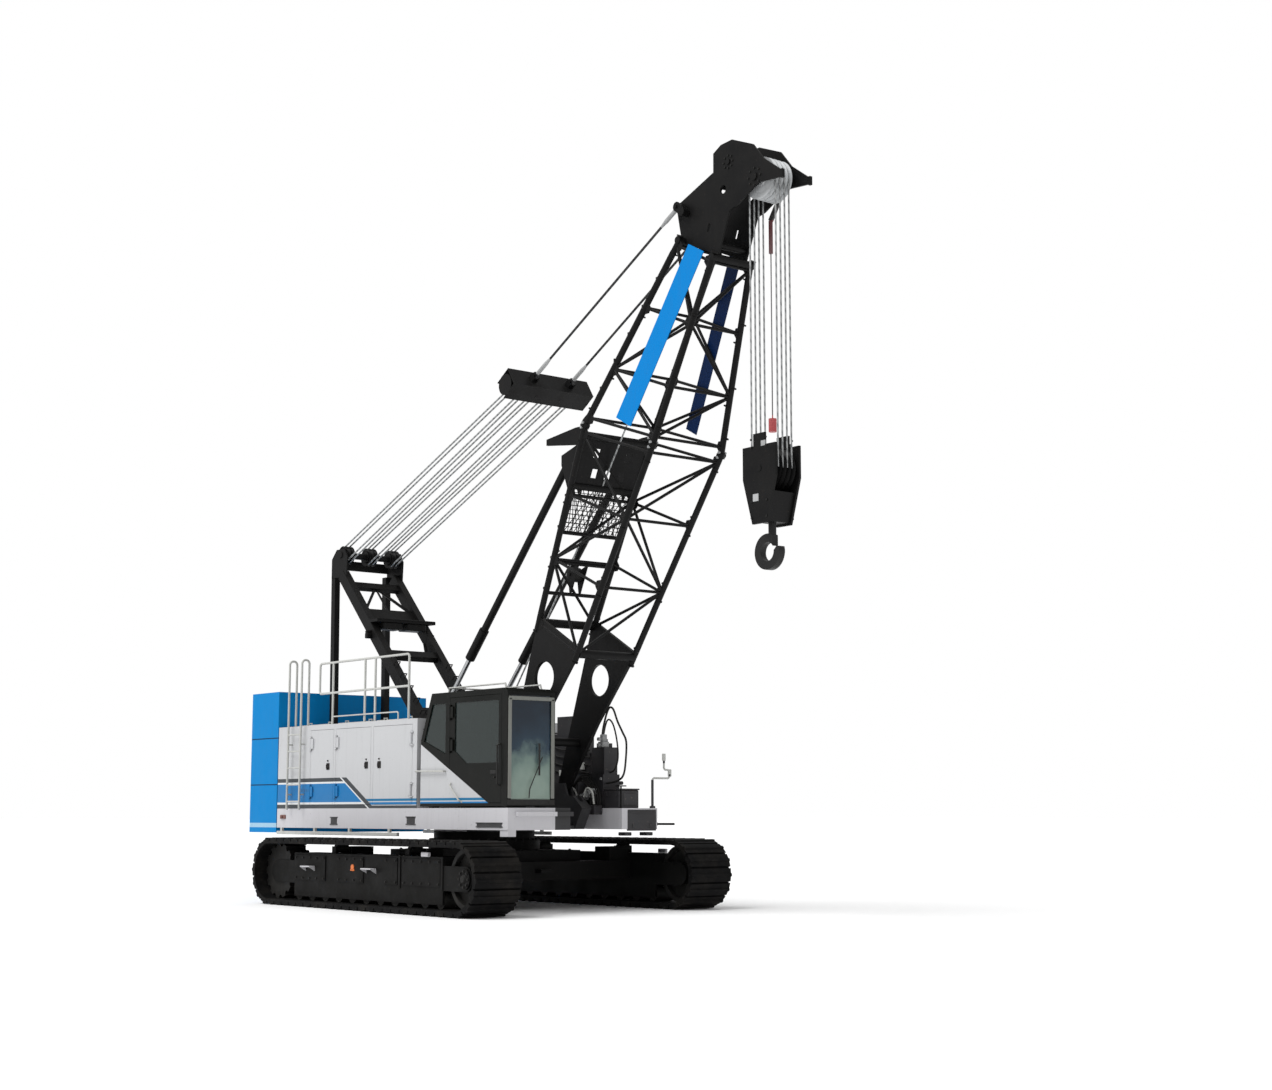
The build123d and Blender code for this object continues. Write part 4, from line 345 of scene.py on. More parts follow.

# %% [markdown]
# ## Cab paint, glass, bright metal and plastics
#
# The cab is dark olive-black. Its glass is tinted toughened sheet: real glass lets light through, so
# transmission is used, with a thin film of dust that scatters, and the windscreen's pale lower part is
# painted reflection. Chromed rods are dragged through seals and carry fine lengthwise scratches.

# %% The cab's finishes and the small materials
cab_paint = painted("olive_black_enamel_cab", "0B0D0B", fade=0.002, streaks=0.04, dust_amount=0.03, specks=0.25,
                    speck="4A4840", rough=(0.25, 0.45), gloss=0.12)
silver_paint = painted("silver_enamel_frame", "B7BABC", fade=0.1, streaks=0.2, specks=0.3, rough=(0.25, 0.45))
trim_paint = painted("dull_anodised_trim", "70726D", fade=0.04, streaks=0.2, specks=0.3, rough=(0.35, 0.55))
hook_steel = painted("forged_hook_steel", "101011", fade=0.004, streaks=0.1, dust="5B4A38", dust_amount=0.06,
                     rough=(0.35, 0.6), bump=0.003)
bolt_steel = painted("zinc_plated_bolts", "8D8F90", fade=0.2, streaks=0.2, specks=0.5, rough=(0.3, 0.5))
rubber = painted("oily_hose_rubber", "101010", fade=0.01, dust_amount=0.12, specks=0.2, rough=(0.5, 0.8))
rust_paint = painted("red_oxide_primer", "6B3527", fade=0.15, dust="4A2E22", dust_amount=0.5, rough=(0.5, 0.8))
orange_paint = painted("orange_lamp_plastic", "D46A1E", fade=0.1, dust_amount=0.2, rough=(0.3, 0.5))

# aluminium boards with blue film: the right one bright blue, the left one dark blue, which is painted shade
board_paint, tree, shader = new_material("blue_film_board_with_painted_shade", 0.35)
point, place = object_place(tree)
near = add(tree, "Math", {0: place["Y"], 1: 0.0}, operation="LESS_THAN")
# the left board (y > 0) gets dark blue as painted shade, the right board its bright film blue
film_blue_with_painted_shade = add(tree, "MixRGB", {0: near, 1: linear("05224A"), 2: linear("007AC4")})
weathered(tree, shader, film_blue_with_painted_shade, fade=0.0, streaks=0.08, dust_amount=0.02, specks=0.2, rough=(0.3, 0.5), gloss=0.1)

seat_cloth, tree, shader = new_material("woven_seat_cloth", 0.9)
point = add(tree, "TexCoord").outputs["Object"]
weave = add(tree, "TexChecker", {"Vector": point, "Scale": 60.0}).outputs["Fac"]
worn = add(tree, "TexNoise", {"Vector": point, "Scale": 9.0, "Detail": 5.0})
colour = add(tree, "MixRGB", {0: worn, 1: linear("17181A"), 2: linear("3B3D40")})
relief = add(tree, "Bump", {"Height": weave, "Strength": 0.4, "Distance": 0.002})
feed(tree, shader, {"Base Color": colour, "Normal": relief})

chrome, tree, shader = new_material("hard_chrome_rod", 0.15, metallic=1.0)
point = add(tree, "TexCoord").outputs["Object"]
drag = add(tree, "Mapping", {"Vector": point, "Scale": (60.0, 60.0, 2.0)})
scratch = add(tree, "TexNoise", {"Vector": drag, "Scale": 1.0, "Detail": 4.0})
colour = add(tree, "MixRGB", {0: scratch, 1: linear("8F9194"), 2: linear("D8DADC")})
dull = add(tree, "MapRange", {"Value": scratch, 1: 0.3, 2: 0.7, 3: 0.12, 4: 0.35})
feed(tree, shader, {"Base Color": colour, "Roughness": dull})

# the windscreen is tinted blue above and pale below, a painted reflection over dusty haze; side panes are dark
SCREEN_REAR = 2.86                   # glass ahead of this is the windscreen
glass, tree, shader = new_material("tinted_toughened_glass", 0.03)
point, place = object_place(tree)
film = add(tree, "TexNoise", {"Vector": point, "Scale": 2.5, "Detail": 6.0})
smear = add(tree, "MapRange", {"Value": film, 1: 0.45, 2: 0.75, 3: 0.0, 4: 0.03})
wavy = add(tree, "Math", {0: place["Z"], 1: film}, operation="ADD")
share = add(tree, "MapRange", {"Value": wavy, 1: 2.2, 2: 4.0})
# the ramp over height paints the low pale green as reflection over haze and the high dark blue as tint
tint_and_painted_reflection = set_stops(add(tree, "ValToRGB", {"Fac": share}), [
    (0.0, linear("B9CDBF")), (0.35, linear("8FA79F")), (0.55, linear("2C465A")), (0.8, linear("182B3C"))])
front_pane = add(tree, "Math", {0: place["X"], 1: SCREEN_REAR}, operation="GREATER_THAN")
colour = add(tree, "MixRGB", {0: front_pane, 1: linear("3C4A48"), 2: tint_and_painted_reflection})
clear = add(tree, "MapRange", {"Value": front_pane, 3: 0.7, 4: 0.45})
feed(tree, shader, {"Base Color": colour, "Roughness": smear, "Transmission Weight": clear, "IOR": 1.52})

# the over-hoist line: a dark red cylinder under the head and a red weight above the block
LINE_LOW, LINE_HIGH = 7.0, 11.0
limit_paint, tree, shader = new_material("red_enamel_limit_weight", 0.45)
point, place = object_place(tree)
by_height = banded(tree, place["Z"], LINE_LOW, LINE_HIGH, (
    (7.0, linear("B2353A")), (7.45, linear("3A3A3B")), (9.93, linear("5A2329")), (10.44, linear("232324"))))
weathered(tree, shader, by_height, dust_amount=0.2, specks=0.2)
print("small materials", len(bpy.data.materials))

# %% [markdown]
# ## Which CAD node gets which finish
#
# The frame's nodes keep their shapes; only their material changes here.

# %% Dress the CAD nodes
dress(("track_right", "track_left"), track_steel)
dress(("track_wheels", "boom_roller"), wheel_steel)
dress(("frame_right", "frame_left", "carbody", "slew_ring"), frame_paint)
dress(("upper_frame",), deck_paint)
dress(("counterweight_base", "counterweight_middle", "counterweight_top"), weight_paint)
dress([name for name in NODES if name.startswith(("house_", "door_l", "door_r"))] + ["cab_side_panel"], house_paint)
dress(("cab_shell", "cab_door"), cab_paint)
dress(("cab_glass", "door_glass"), glass)
dress(("cab_seat",), seat_cloth)
dress(("engine", "tanks", "front_machinery"), cabinet_paint)
dress(("boom_lower", "boom_upper", "boom_head", "gantry_front", "gantry_rear", "gantry_sheaves", "bridle",
       "bridle_sheaves", "winch_frames", "backstop_tubes", "guide_sheaves", "hook_block", "block_sheaves"), boom_paint)
dress(("winch_front", "winch_rear", "winch_boom"), wheel_steel)
dress(("head_sheaves",), silver_paint)
dress(("backstop_rods",), chrome)
dress(("stays",), stay_steel)
dress(("hoist_ropes",), rope_steel)
dress(("sign_boards",), board_paint)
dress(("overhoist_line",), limit_paint)
dress(("hook",), hook_steel)
dress(("handrails", "ladder"), rail_paint)
bare = [name for name, node in NODES.items() if not node.data.materials or node.data.materials[0] is None]
print("nodes without a finish:", bare)

# %% [markdown]
# ## Building small pieces
#
# Small pieces are meshes made from a few primitives in one bmesh: boxes with broken edges, prisms for
# bolts and bosses, and tubes swept along points for rails, pipes and ropes. Curves with a bevel would
# also sweep, but a mesh keeps its triangle count known.

# %% Mesh helpers


def add_box(mesh, low, high, bevel=0.0):
    """A box between two corners, with its edges broken by a bevel."""
    size = Vector(high) - Vector(low)
    matrix = Matrix.Translation((Vector(high) + Vector(low)) / 2) @ Matrix.Diagonal((*size, 1.0))
    made = bmesh.ops.create_cube(mesh, size=1.0, matrix=matrix)["verts"]
    if bevel:
        edges = {edge for vertex in made for edge in vertex.link_edges}
        bmesh.ops.bevel(mesh, geom=list(edges), offset=bevel, segments=1, affect="EDGES")


def add_round(mesh, start, end, radius, sides=6, top=None):
    """A prism or cone from start to end: six sides make a bolt head, more make a boss."""
    line = Vector(end) - Vector(start)
    turn = line.to_track_quat("Z", "Y").to_matrix().to_4x4()
    matrix = Matrix.Translation((Vector(start) + Vector(end)) / 2) @ turn
    bmesh.ops.create_cone(mesh, cap_ends=True, segments=sides, radius1=radius, radius2=radius if top is None else top,
                          depth=line.length, matrix=matrix)


def add_tube(mesh, points, radius, sides=8):
    """A round bar through points, with mitred corners and closed ends."""
    points = [Vector(p) for p in points]
    steps = [(b - a).normalized() for a, b in zip(points, points[1:])]
    ways = [steps[0]] + [(a + b).normalized() for a, b in zip(steps, steps[1:])] + [steps[-1]]
    side = ways[0].orthogonal().normalized()
    rings = []
    for i, (point, way) in enumerate(zip(points, ways)):
        side = (side - side.dot(way) * way).normalized()
        other = way.cross(side)
        spread = 1.0 if i in (0, len(points) - 1) else 1 / max(0.5, steps[i].dot(way))
        rings.append([mesh.verts.new(point + (side * math.cos(a) + other * math.sin(a)) * radius * spread)
                      for a in (2 * math.pi * k / sides for k in range(sides))])
    for low, high in zip(rings, rings[1:]):
        for k in range(sides):
            mesh.faces.new((low[k], low[(k + 1) % sides], high[(k + 1) % sides], high[k]))
    mesh.faces.new(list(reversed(rings[0])))
    mesh.faces.new(rings[-1])


def add_plate(mesh, outline, thickness):
    """A flat plate from an outline of points, thickened along its normal."""
    face = mesh.faces.new([mesh.verts.new(Vector(p)) for p in outline])
    face.normal_update()
    made = bmesh.ops.extrude_face_region(mesh, geom=[face])["geom"]
    verts = [item for item in made if isinstance(item, bmesh.types.BMVert)]
    bmesh.ops.translate(mesh, vec=face.normal * thickness, verts=verts)


def add_bolts(mesh, places, way, radius=0.02, height=0.014):
    """A hexagon head with its washer at each place, standing along way."""
    way = Vector(way).normalized()
    for place in places:
        foot = Vector(place)
        add_round(mesh, foot, foot + way * height * 0.3, radius * 1.35, sides=10)
        add_round(mesh, foot + way * height * 0.3, foot + way * height, radius, sides=6)


def finish_piece(mesh, name, material, body):
    """Turns a bmesh into a named piece that rides on a body."""
    bmesh.ops.recalc_face_normals(mesh, faces=mesh.faces[:])
    data = bpy.data.meshes.new(name)
    mesh.to_mesh(data)
    mesh.free()
    data.shade_smooth()
    data.set_sharp_from_angle(angle=math.radians(35))
    piece = bpy.data.objects.new(name, data)
    piece.data.materials.append(material)
    bpy.context.scene.collection.objects.link(piece)
    if body:
        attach(piece, body)
    data.calc_loop_triangles()
    print("piece", name, "on", body, len(data.loop_triangles), "triangles")
    return piece


def spread(first, last, count):
    """Evenly spaced numbers from first to last."""
    return [first + (last - first) * i / (count - 1) for i in range(count)]


def add_side_box(mesh, side, low, high, bevel=0.0):
    """A box whose corners are given for the left side (1), put there or mirrored to the right (-1)."""
    y0, y1 = sorted((side * low[1], side * high[1]))
    add_box(mesh, (low[0], y0, low[2]), (high[0], y1, high[2]), bevel)


def ring(centre, radius, count, axis="Y"):
    """Places round a circle about an axis."""
    places = []
    for k in range(count):
        a = 2 * math.pi * k / count
        u, v = radius * math.cos(a), radius * math.sin(a)
        places.append((centre[0] + u, centre[1], centre[2] + v) if axis == "Y" else
                      (centre[0] + u, centre[1] + v, centre[2]))
    return places


# %% [markdown]
# ## Ropes
#
# Three groups of boom-hoist ropes run from the gantry's sheaves to the bridle's. They are taut, so
# straight tubes tangent to both sheaves are right and no simulation is needed. They ride on no body;
# riding on the bridle they would keep their length and run through the gantry. The hoist rope
# leaves the front drum, bends over the roller behind the boom and runs up to the guide and head
# sheaves. Its lower part, from drum to roller, rides on no body either, and its upper part rides on the boom.

# %% Boom-hoist ropes and hoist rope
GANTRY_AXLE = Vector((-3.95, 0, 6.40))
BRIDLE_AXLE = Vector((1.67, 0, 8.68))
GANTRY_LINE, BRIDLE_LINE = 0.14, 0.12       # rope centre radius on each sheave
HOIST_ROPE, LUFF_ROPE = 0.014, 0.015        # rope radii
GROUPS = (-0.5, 0.0, 0.5)
PAIR = 0.045                                # half the pitch of two sheaves in a group

along = (BRIDLE_AXLE - GANTRY_AXLE).normalized()
lift = Vector((-along.z, 0, along.x))
mesh = bmesh.new()
for group in GROUPS:
    for sheave in (-PAIR, PAIR):
        for sign in (-1, 1):
            y = group + sheave
            start = GANTRY_AXLE + lift * GANTRY_LINE * sign + Vector((0, y, 0))
            end = BRIDLE_AXLE + lift * BRIDLE_LINE * sign + Vector((0, y, 0))
            add_tube(mesh, [start, end], LUFF_ROPE, sides=8)
luff_ropes = finish_piece(mesh, "boom_hoist_ropes", rope_steel, None)
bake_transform(luff_ropes)

ROLLER = Vector((2.53, 0, 5.45))
GUIDE = Vector((6.70, 0, 11.31))
HEAD = Vector((7.28, 0, 10.93))
FRONT_DRUM = Vector((0.25, 0, 2.33))
DRUM_LINE, ROLLER_LINE, GUIDE_LINE, HEAD_LINE = 0.266, 0.134, 0.204, 0.294    # rope centre radius on each wheel
RUN_Y = -0.045                              # the rope's plane, off the machine's middle
LOWER_STEPS = 12                            # points along the lower part's straight run


def tangent(centre, radius, other, other_radius):
    """The two ends of the straight rope that leaves the upper side of one wheel and meets another's."""
    gap = other - centre
    turn = math.asin((radius - other_radius) / gap.length)
    way = gap.normalized()
    normal = Vector((-way.z, 0, way.x))
    out = normal * math.cos(turn) + way * math.sin(turn)
    return centre + out * radius, other + out * other_radius


def arc(centre, radius, first, last, steps):
    """Points round a wheel in the side plane, between two directions given as points."""
    a = math.atan2(first.z - centre.z, first.x - centre.x)
    b = math.atan2(last.z - centre.z, last.x - centre.x)
    if b > a:
        b -= 2 * math.pi
    return [centre + Vector((math.cos(t), 0, math.sin(t))) * radius for t in spread(a, b, steps)]


low_start, low_end = tangent(FRONT_DRUM, DRUM_LINE, ROLLER, ROLLER_LINE)
up_start, up_end = tangent(ROLLER, ROLLER_LINE, GUIDE, GUIDE_LINE)
cross_start, cross_end = tangent(GUIDE, GUIDE_LINE, HEAD, HEAD_LINE)
shift = Vector((0, RUN_Y, 0))
mesh = bmesh.new()
add_tube(mesh, [low_start.lerp(low_end, t) + shift for t in spread(0, 1, LOWER_STEPS)], HOIST_ROPE)
lower_rope = finish_piece(mesh, "hoist_rope_lower", rope_steel, None)
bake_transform(lower_rope)

mesh = bmesh.new()
over = [up_end, *arc(GUIDE, GUIDE_LINE, up_end, cross_start, 6)[1:-1], cross_start]
points = [up_start, *over, cross_end]
add_tube(mesh, [p + shift for p in points], HOIST_ROPE)
finish_piece(mesh, "hoist_rope_upper", rope_steel, "boom")

# %% [markdown]
# ## Rope wound on the drums
#
# Each drum carries one open layer of rope. A helix swept as one tube gives the grooves and their
# shadows; a bumped cylinder would look flat at its silhouette. The pitch is a little over the rope's
# diameter, as on a grooved drum.

# %% Rope on the three drums
WINDINGS = (("winch_front", 0.25, 2.33, 0.24), ("winch_rear", -0.90, 2.33, 0.24), ("winch_boom", -2.30, 2.23, 0.20))
DRUM_HALF = 0.335
PITCH = 0.034
WOUND_ROPE = 0.016                          # rope radius on the drums
TURN_STEPS = 20
turns = int(2 * DRUM_HALF / PITCH)
for word, x, z, radius in WINDINGS:
    line = radius + WOUND_ROPE
    points = []
    for i in range(turns * TURN_STEPS + 1):
        angle = 2 * math.pi * i / TURN_STEPS
        points.append((x + line * math.cos(angle), -DRUM_HALF + PITCH * i / TURN_STEPS, z + line * math.sin(angle)))
    mesh = bmesh.new()
    add_tube(mesh, points, WOUND_ROPE, sides=6)
    finish_piece(mesh, word + "_rope", drum_rope, word)

# %% [markdown]
# ## Pendant sockets
#
# A pendant rope ends in a swaged socket, a steel sleeve thicker than the rope and tapered where the
# rope enters. A sleeve and a cone per end are enough at this scale.

# %% Sockets on the pendants
CLEVIS, STAY_PIN = Vector((1.93, 0, 8.85)), Vector((5.64, 0, 10.85))
STAY_Y = 0.38
SLEEVE, SLEEVE_END, CONE_END, CONE_TIP = 0.036, 0.26, 0.40, 0.021
way = (STAY_PIN - CLEVIS).normalized()
mesh = bmesh.new()
for y in (-STAY_Y, STAY_Y):
    for foot, sign in ((CLEVIS, 1), (STAY_PIN, -1)):
        start = foot + Vector((0, y, 0)) + way * 0.06 * sign
        add_round(mesh, start, start + way * SLEEVE_END * sign, SLEEVE, sides=12)
        add_round(mesh, start + way * SLEEVE_END * sign, start + way * CONE_END * sign, SLEEVE, sides=12, top=CONE_TIP)
finish_piece(mesh, "pendant_sockets", bolt_steel, "bridle")

# %% [markdown]
# ## Bolts, caps and plates on the undercarriage
#
# Cover panels, idler hubs and final drives are held by rings and rows of hexagon bolts, M24 to M30.
# They catch the light as small dots in rows. Each is a six-sided prism on a washer; all on one frame
# are one mesh.

# %% Undercarriage bolts
SIDES = (("right", -1), ("left", 1))
TRACK_Y = 2.123
FRAME_HALF = 0.235                          # half the crawler frame's width
FRAME_FACE = FRAME_HALF + 0.016             # to the face of its cover panels
WHEEL_X = 2.923
WHEEL_RADIUS, WHEEL_ROOM = 0.4748, 0.12
FRAME_REACH = WHEEL_X - WHEEL_RADIUS - WHEEL_ROOM
COVERS = ((-0.762, 0.442), (-0.191, 0.356), (0.35, 0.167), (0.732, 0.468))    # middle and length, as shares of it
COVER_BOLT_STEP = 0.22


for word, side in SIDES:
    face = side * (TRACK_Y + FRAME_FACE)
    mesh = bmesh.new()
    for middle, length in COVERS:
        x0, x1 = ((middle - length / 2) * FRAME_REACH + 0.05, (middle + length / 2) * FRAME_REACH - 0.05)
        count = max(2, round((x1 - x0) / COVER_BOLT_STEP) + 1)
        rows = [(x, face, z) for x in spread(x0, x1, count) for z in (0.48, 0.82)]
        add_bolts(mesh, rows, (0, side, 0), 0.018, 0.014)
    hub = Vector((WHEEL_X, side * (TRACK_Y + FRAME_HALF + 0.032), TRACK_MIDDLE))
    add_bolts(mesh, ring(hub, 0.12, 8), (0, side, 0), 0.020, 0.018)
    add_round(mesh, hub, hub + Vector((0, side * 0.03, 0)), 0.07, sides=20, top=0.05)
    drive = Vector((-WHEEL_X, side * (TRACK_Y - FRAME_HALF - 0.150), TRACK_MIDDLE))
    add_bolts(mesh, ring(drive, 0.21, 12), (0, -side, 0), 0.020, 0.018)
    finish_piece(mesh, f"frame_bolts_{word}", wheel_steel, "base")

# a lifting block and two steps, each on two brackets, on every crawler frame
STEP_DEPTH = 0.11
for word, side in SIDES:
    out = TRACK_Y + FRAME_FACE
    mesh = bmesh.new()
    add_side_box(mesh, side, (1.79, out, 0.90), (1.99, out + 0.06, 0.97), 0.008)
    for x in (-1.76, 0.22):
        add_side_box(mesh, side, (x - 0.16, out, 0.665), (x + 0.16, out + STEP_DEPTH, 0.685), 0.004)
        for end in (x - 0.15, x + 0.15):
            bracket = ((end, side * out, 0.60), (end, side * (out + STEP_DEPTH), 0.665), (end, side * out, 0.665))
            add_plate(mesh, bracket, 0.01)
    finish_piece(mesh, f"frame_steps_{word}", deck_paint, "base")

mesh = bmesh.new()
add_bolts(mesh, ring((0, 0, 1.12), 0.92, 36, "Z"), (0, 0, 1), 0.022, 0.03)
add_bolts(mesh, [(x, y, 0.96) for x in (-1.3, 1.3) for y in spread(-0.85, 0.85, 6)], (0, 0, 1), 0.022, 0.02)
finish_piece(mesh, "carbody_bolts", wheel_steel, "base")

# %% [markdown]
# ## Turntable and house trim
#
# Along the deck's side run a rubbing bar on brackets, tie-down pockets and a drain valve; the doors have
# pull handles; the roof has low hatches and a short exhaust outlet, and the walls have louvres. Each is
# a handful of boxes with broken edges. Cutting the pockets into the frame would change the CAD, so a dark
# framed plate, painted shade standing for each pocket's hollow, is laid on the deck's side instead.

# %% Deck side trim
SIDE = 1.611
SUNK = 0.004                                # how far a laid-on piece reaches into its wall
mesh = bmesh.new()
for side in (-1, 1):
    add_side_box(mesh, side, (-4.36, SIDE - 0.05, 1.19), (-0.23, SIDE + 0.005, 1.25), 0.006)
    for x in (-4.2, -3.0, -1.8, -0.5):
        add_side_box(mesh, side, (x - 0.03, SIDE - 0.045, 1.24), (x + 0.03, SIDE, 1.315), 0.004)
finish_piece(mesh, "deck_rubbing_bars", rail_paint, "upper")

# dark plates stand for the pockets' hollows as painted shade, each with a rim above and below
mesh = bmesh.new()
for side in (-1, 1):
    for x0, x1, z0, z1 in ((-2.41, -2.20, 1.38, 1.50), (0.07, 0.32, 1.39, 1.51), (2.13, 2.81, 1.36, 1.42)):
        if side > 0 and x1 > 2.7:
            continue
        add_side_box(mesh, side, (x0, SIDE - SUNK, z0), (x1, SIDE + 0.006, z1), 0.003)
        for edge in (z0, z1):
            add_side_box(mesh, side, (x0 - 0.02, SIDE - SUNK, edge - 0.008), (x1 + 0.02, SIDE + 0.014, edge + 0.008),
                         0.002)
finish_piece(mesh, "deck_pocket_shade_plates", cabinet_paint, "upper")

mesh = bmesh.new()
add_box(mesh, (-4.22, -SIDE - 0.02, 1.47), (-4.03, -SIDE + 0.01, 1.54), 0.006)
add_round(mesh, (-4.125, -SIDE - 0.02, 1.505), (-4.125, -SIDE - 0.05, 1.505), 0.025, sides=10)
finish_piece(mesh, "deck_drain_valve", rust_paint, "upper")

# %% Door handles and their locks
HANDLE_PLACES = (("rear", -2.55), ("middle", -1.25), ("front", -0.83))
for word, x in HANDLE_PLACES:
    for hand, side in SIDES:
        mesh = bmesh.new()
        add_side_box(mesh, side, (x - 0.055, SIDE - SUNK, 2.33), (x + 0.055, SIDE + 0.006, 2.45), 0.004)
        wall, grip = side * SIDE, side * (SIDE + 0.035)
        add_tube(mesh, [(x, wall, 2.35), (x, grip, 2.36), (x, grip, 2.42), (x, wall, 2.43)], 0.008)
        add_round(mesh, (x, wall, 2.49), (x, side * (SIDE + 0.018), 2.49), 0.014, sides=12)
        finish_piece(mesh, f"handle_{hand}_{word}", rubber, f"door_{hand}_{word}")

# %% Roof hatches, louvres and exhaust outlet
mesh = bmesh.new()
for side in (-1, 1):
    for x0, x1 in ((-3.9, -2.9), (-2.6, -1.5), (-1.3, -0.2)):
        add_side_box(mesh, side, (x0, 0.90, 3.13), (x1, 1.40, 3.165), 0.008)
        y = side * 1.30
        for x in (x0 + 0.15, x1 - 0.15):
            add_tube(mesh, [(x - 0.05, y, 3.16), (x - 0.05, y, 3.20), (x + 0.05, y, 3.20), (x + 0.05, y, 3.16)], 0.008)
finish_piece(mesh, "roof_hatches", rail_paint, "upper")

mesh = bmesh.new()
for x in spread(-3.55, -3.05, 9):
    add_box(mesh, (x - 0.006, -1.612, 1.95), (x + 0.006, -1.604, 2.0), 0.001)
for side in (-1, 1):
    for row in range(12):
        z = 2.45 + row * 0.045
        add_side_box(mesh, side, (0.346, 0.84, z), (0.366, 1.50, z + 0.022), 0.004)
finish_piece(mesh, "front_wall_louvres", cabinet_paint, "upper")

mesh = bmesh.new()
add_round(mesh, (-3.2, 1.15, 3.12), (-3.2, 1.15, 3.36), 0.06, sides=20)
add_round(mesh, (-3.2, 1.15, 3.34), (-3.26, 1.15, 3.44), 0.055, sides=20, top=0.06)
add_round(mesh, (-3.2, 1.15, 3.13), (-3.2, 1.15, 3.16), 0.11, sides=20, top=0.08)
finish_piece(mesh, "exhaust_outlet", rust_paint, "upper")

# %% [markdown]
# ## Counterweight fittings
#
# Each slab has two cast lifting lugs, where the slings go, and the top one carries a flat cover and
# small stops. A lug is a short stub in a flange, and it stays inside the slab's back face.

# %% Counterweight lugs
WEIGHT_BACK, WEIGHT_TOP = -5.46, 3.80
mesh = bmesh.new()
for z in (1.75, 2.55, 3.40):
    for y in (-1.0, 1.0):
        foot = (WEIGHT_BACK + 0.045, y, z)
        add_round(mesh, foot, (WEIGHT_BACK + 0.005, y, z), 0.09, sides=20, top=0.075)
        add_round(mesh, foot, (WEIGHT_BACK, y, z), 0.045, sides=16)
for y in (-1.25, 1.25):
    for x in (-5.2, -4.7):
        add_box(mesh, (x - 0.02, y - 0.07, WEIGHT_TOP - 0.01), (x + 0.02, y + 0.07, WEIGHT_TOP - 0.002))
add_box(mesh, (-5.3, -0.5, WEIGHT_TOP - 0.004), (-4.6, 0.5, WEIGHT_TOP + 0.004), 0.004)
finish_piece(mesh, "counterweight_lugs", weight_paint, "upper")

# %% [markdown]
# ## Cab
#
# The windscreen sits in a dull metal frame over a black sill band; a rail runs round the roof's edge;
# grab bars stand on the door side; a wiper parks on the glass. Inside are a console with a screen, and
# levers beside the seat. Rails and bars are tubes; frame and sill are bevelled boxes.

# %% The cab's outside trim
CAB_OUT, CAB_IN = -1.611, -0.69
SCREEN_REST, SCREEN_FACE = 2.93, 2.952

mesh = bmesh.new()
for y in (CAB_OUT + 0.045, CAB_IN - 0.045):
    add_box(mesh, (SCREEN_REST, y - 0.032, 1.80), (SCREEN_FACE, y + 0.032, 3.36), 0.006)
add_box(mesh, (SCREEN_REST, CAB_OUT + 0.02, 3.33), (SCREEN_FACE, CAB_IN - 0.02, 3.39), 0.006)
finish_piece(mesh, "windscreen_frame", trim_paint, "upper")

mesh = bmesh.new()
add_box(mesh, (2.90, CAB_OUT + 0.005, 1.695), (SCREEN_FACE, CAB_IN - 0.005, 1.785), 0.008)
add_tube(mesh, [(2.955, -1.2, 1.80), (2.962, -1.19, 1.95), (2.962, -0.95, 2.45)], 0.008)
add_box(mesh, (SCREEN_FACE, -1.02, 2.16), (2.966, -0.99, 2.66), 0.003)
for y in spread(CAB_OUT + 0.12, CAB_IN - 0.12, 5):
    add_round(mesh, (2.95, y, 1.74), (2.958, y, 1.74), 0.012, sides=8)
finish_piece(mesh, "cab_sill_and_wiper", rubber, "upper")

ROOF_Z, RAIL_Z = 3.51, 3.60
RAIL_PLACES = (CAB_OUT + 0.12, CAB_IN - 0.12)
mesh = bmesh.new()
for y in RAIL_PLACES:
    add_tube(mesh, [(1.10, y, ROOF_Z), (1.12, y, RAIL_Z), (2.70, y, RAIL_Z), (2.74, y, ROOF_Z)], 0.014)
add_tube(mesh, [(1.12, y, RAIL_Z) for y in RAIL_PLACES], 0.012)
finish_piece(mesh, "cab_roof_rails", rail_paint, "upper")

mesh = bmesh.new()
add_tube(mesh, [(0.40, CAB_OUT, 2.255), (0.40, CAB_OUT - 0.05, 2.255), (1.22, CAB_OUT - 0.05, 2.245),
                (1.22, CAB_OUT, 2.245)], 0.012)
add_tube(mesh, [(1.70, CAB_OUT + 0.01, 1.74), (1.66, CAB_OUT - 0.045, 1.78), (1.40, CAB_OUT - 0.045, 2.02),
                (1.36, CAB_OUT + 0.01, 2.06)], 0.012)
finish_piece(mesh, "cab_side_grab_bars", rail_paint, "upper")

mesh = bmesh.new()
add_tube(mesh, [(2.735, CAB_OUT, 2.0), (2.735, CAB_OUT - 0.05, 2.03), (2.735, CAB_OUT - 0.05, 2.62),
                (2.735, CAB_OUT, 2.65)], 0.012)
add_box(mesh, (2.50, CAB_OUT - 0.022, 2.18), (2.66, CAB_OUT + 0.002, 2.24), 0.006)
add_round(mesh, (2.60, CAB_OUT, 2.13), (2.60, CAB_OUT - 0.02, 2.13), 0.014, sides=12)
finish_piece(mesh, "cab_door_handle", rubber, "cab_door")

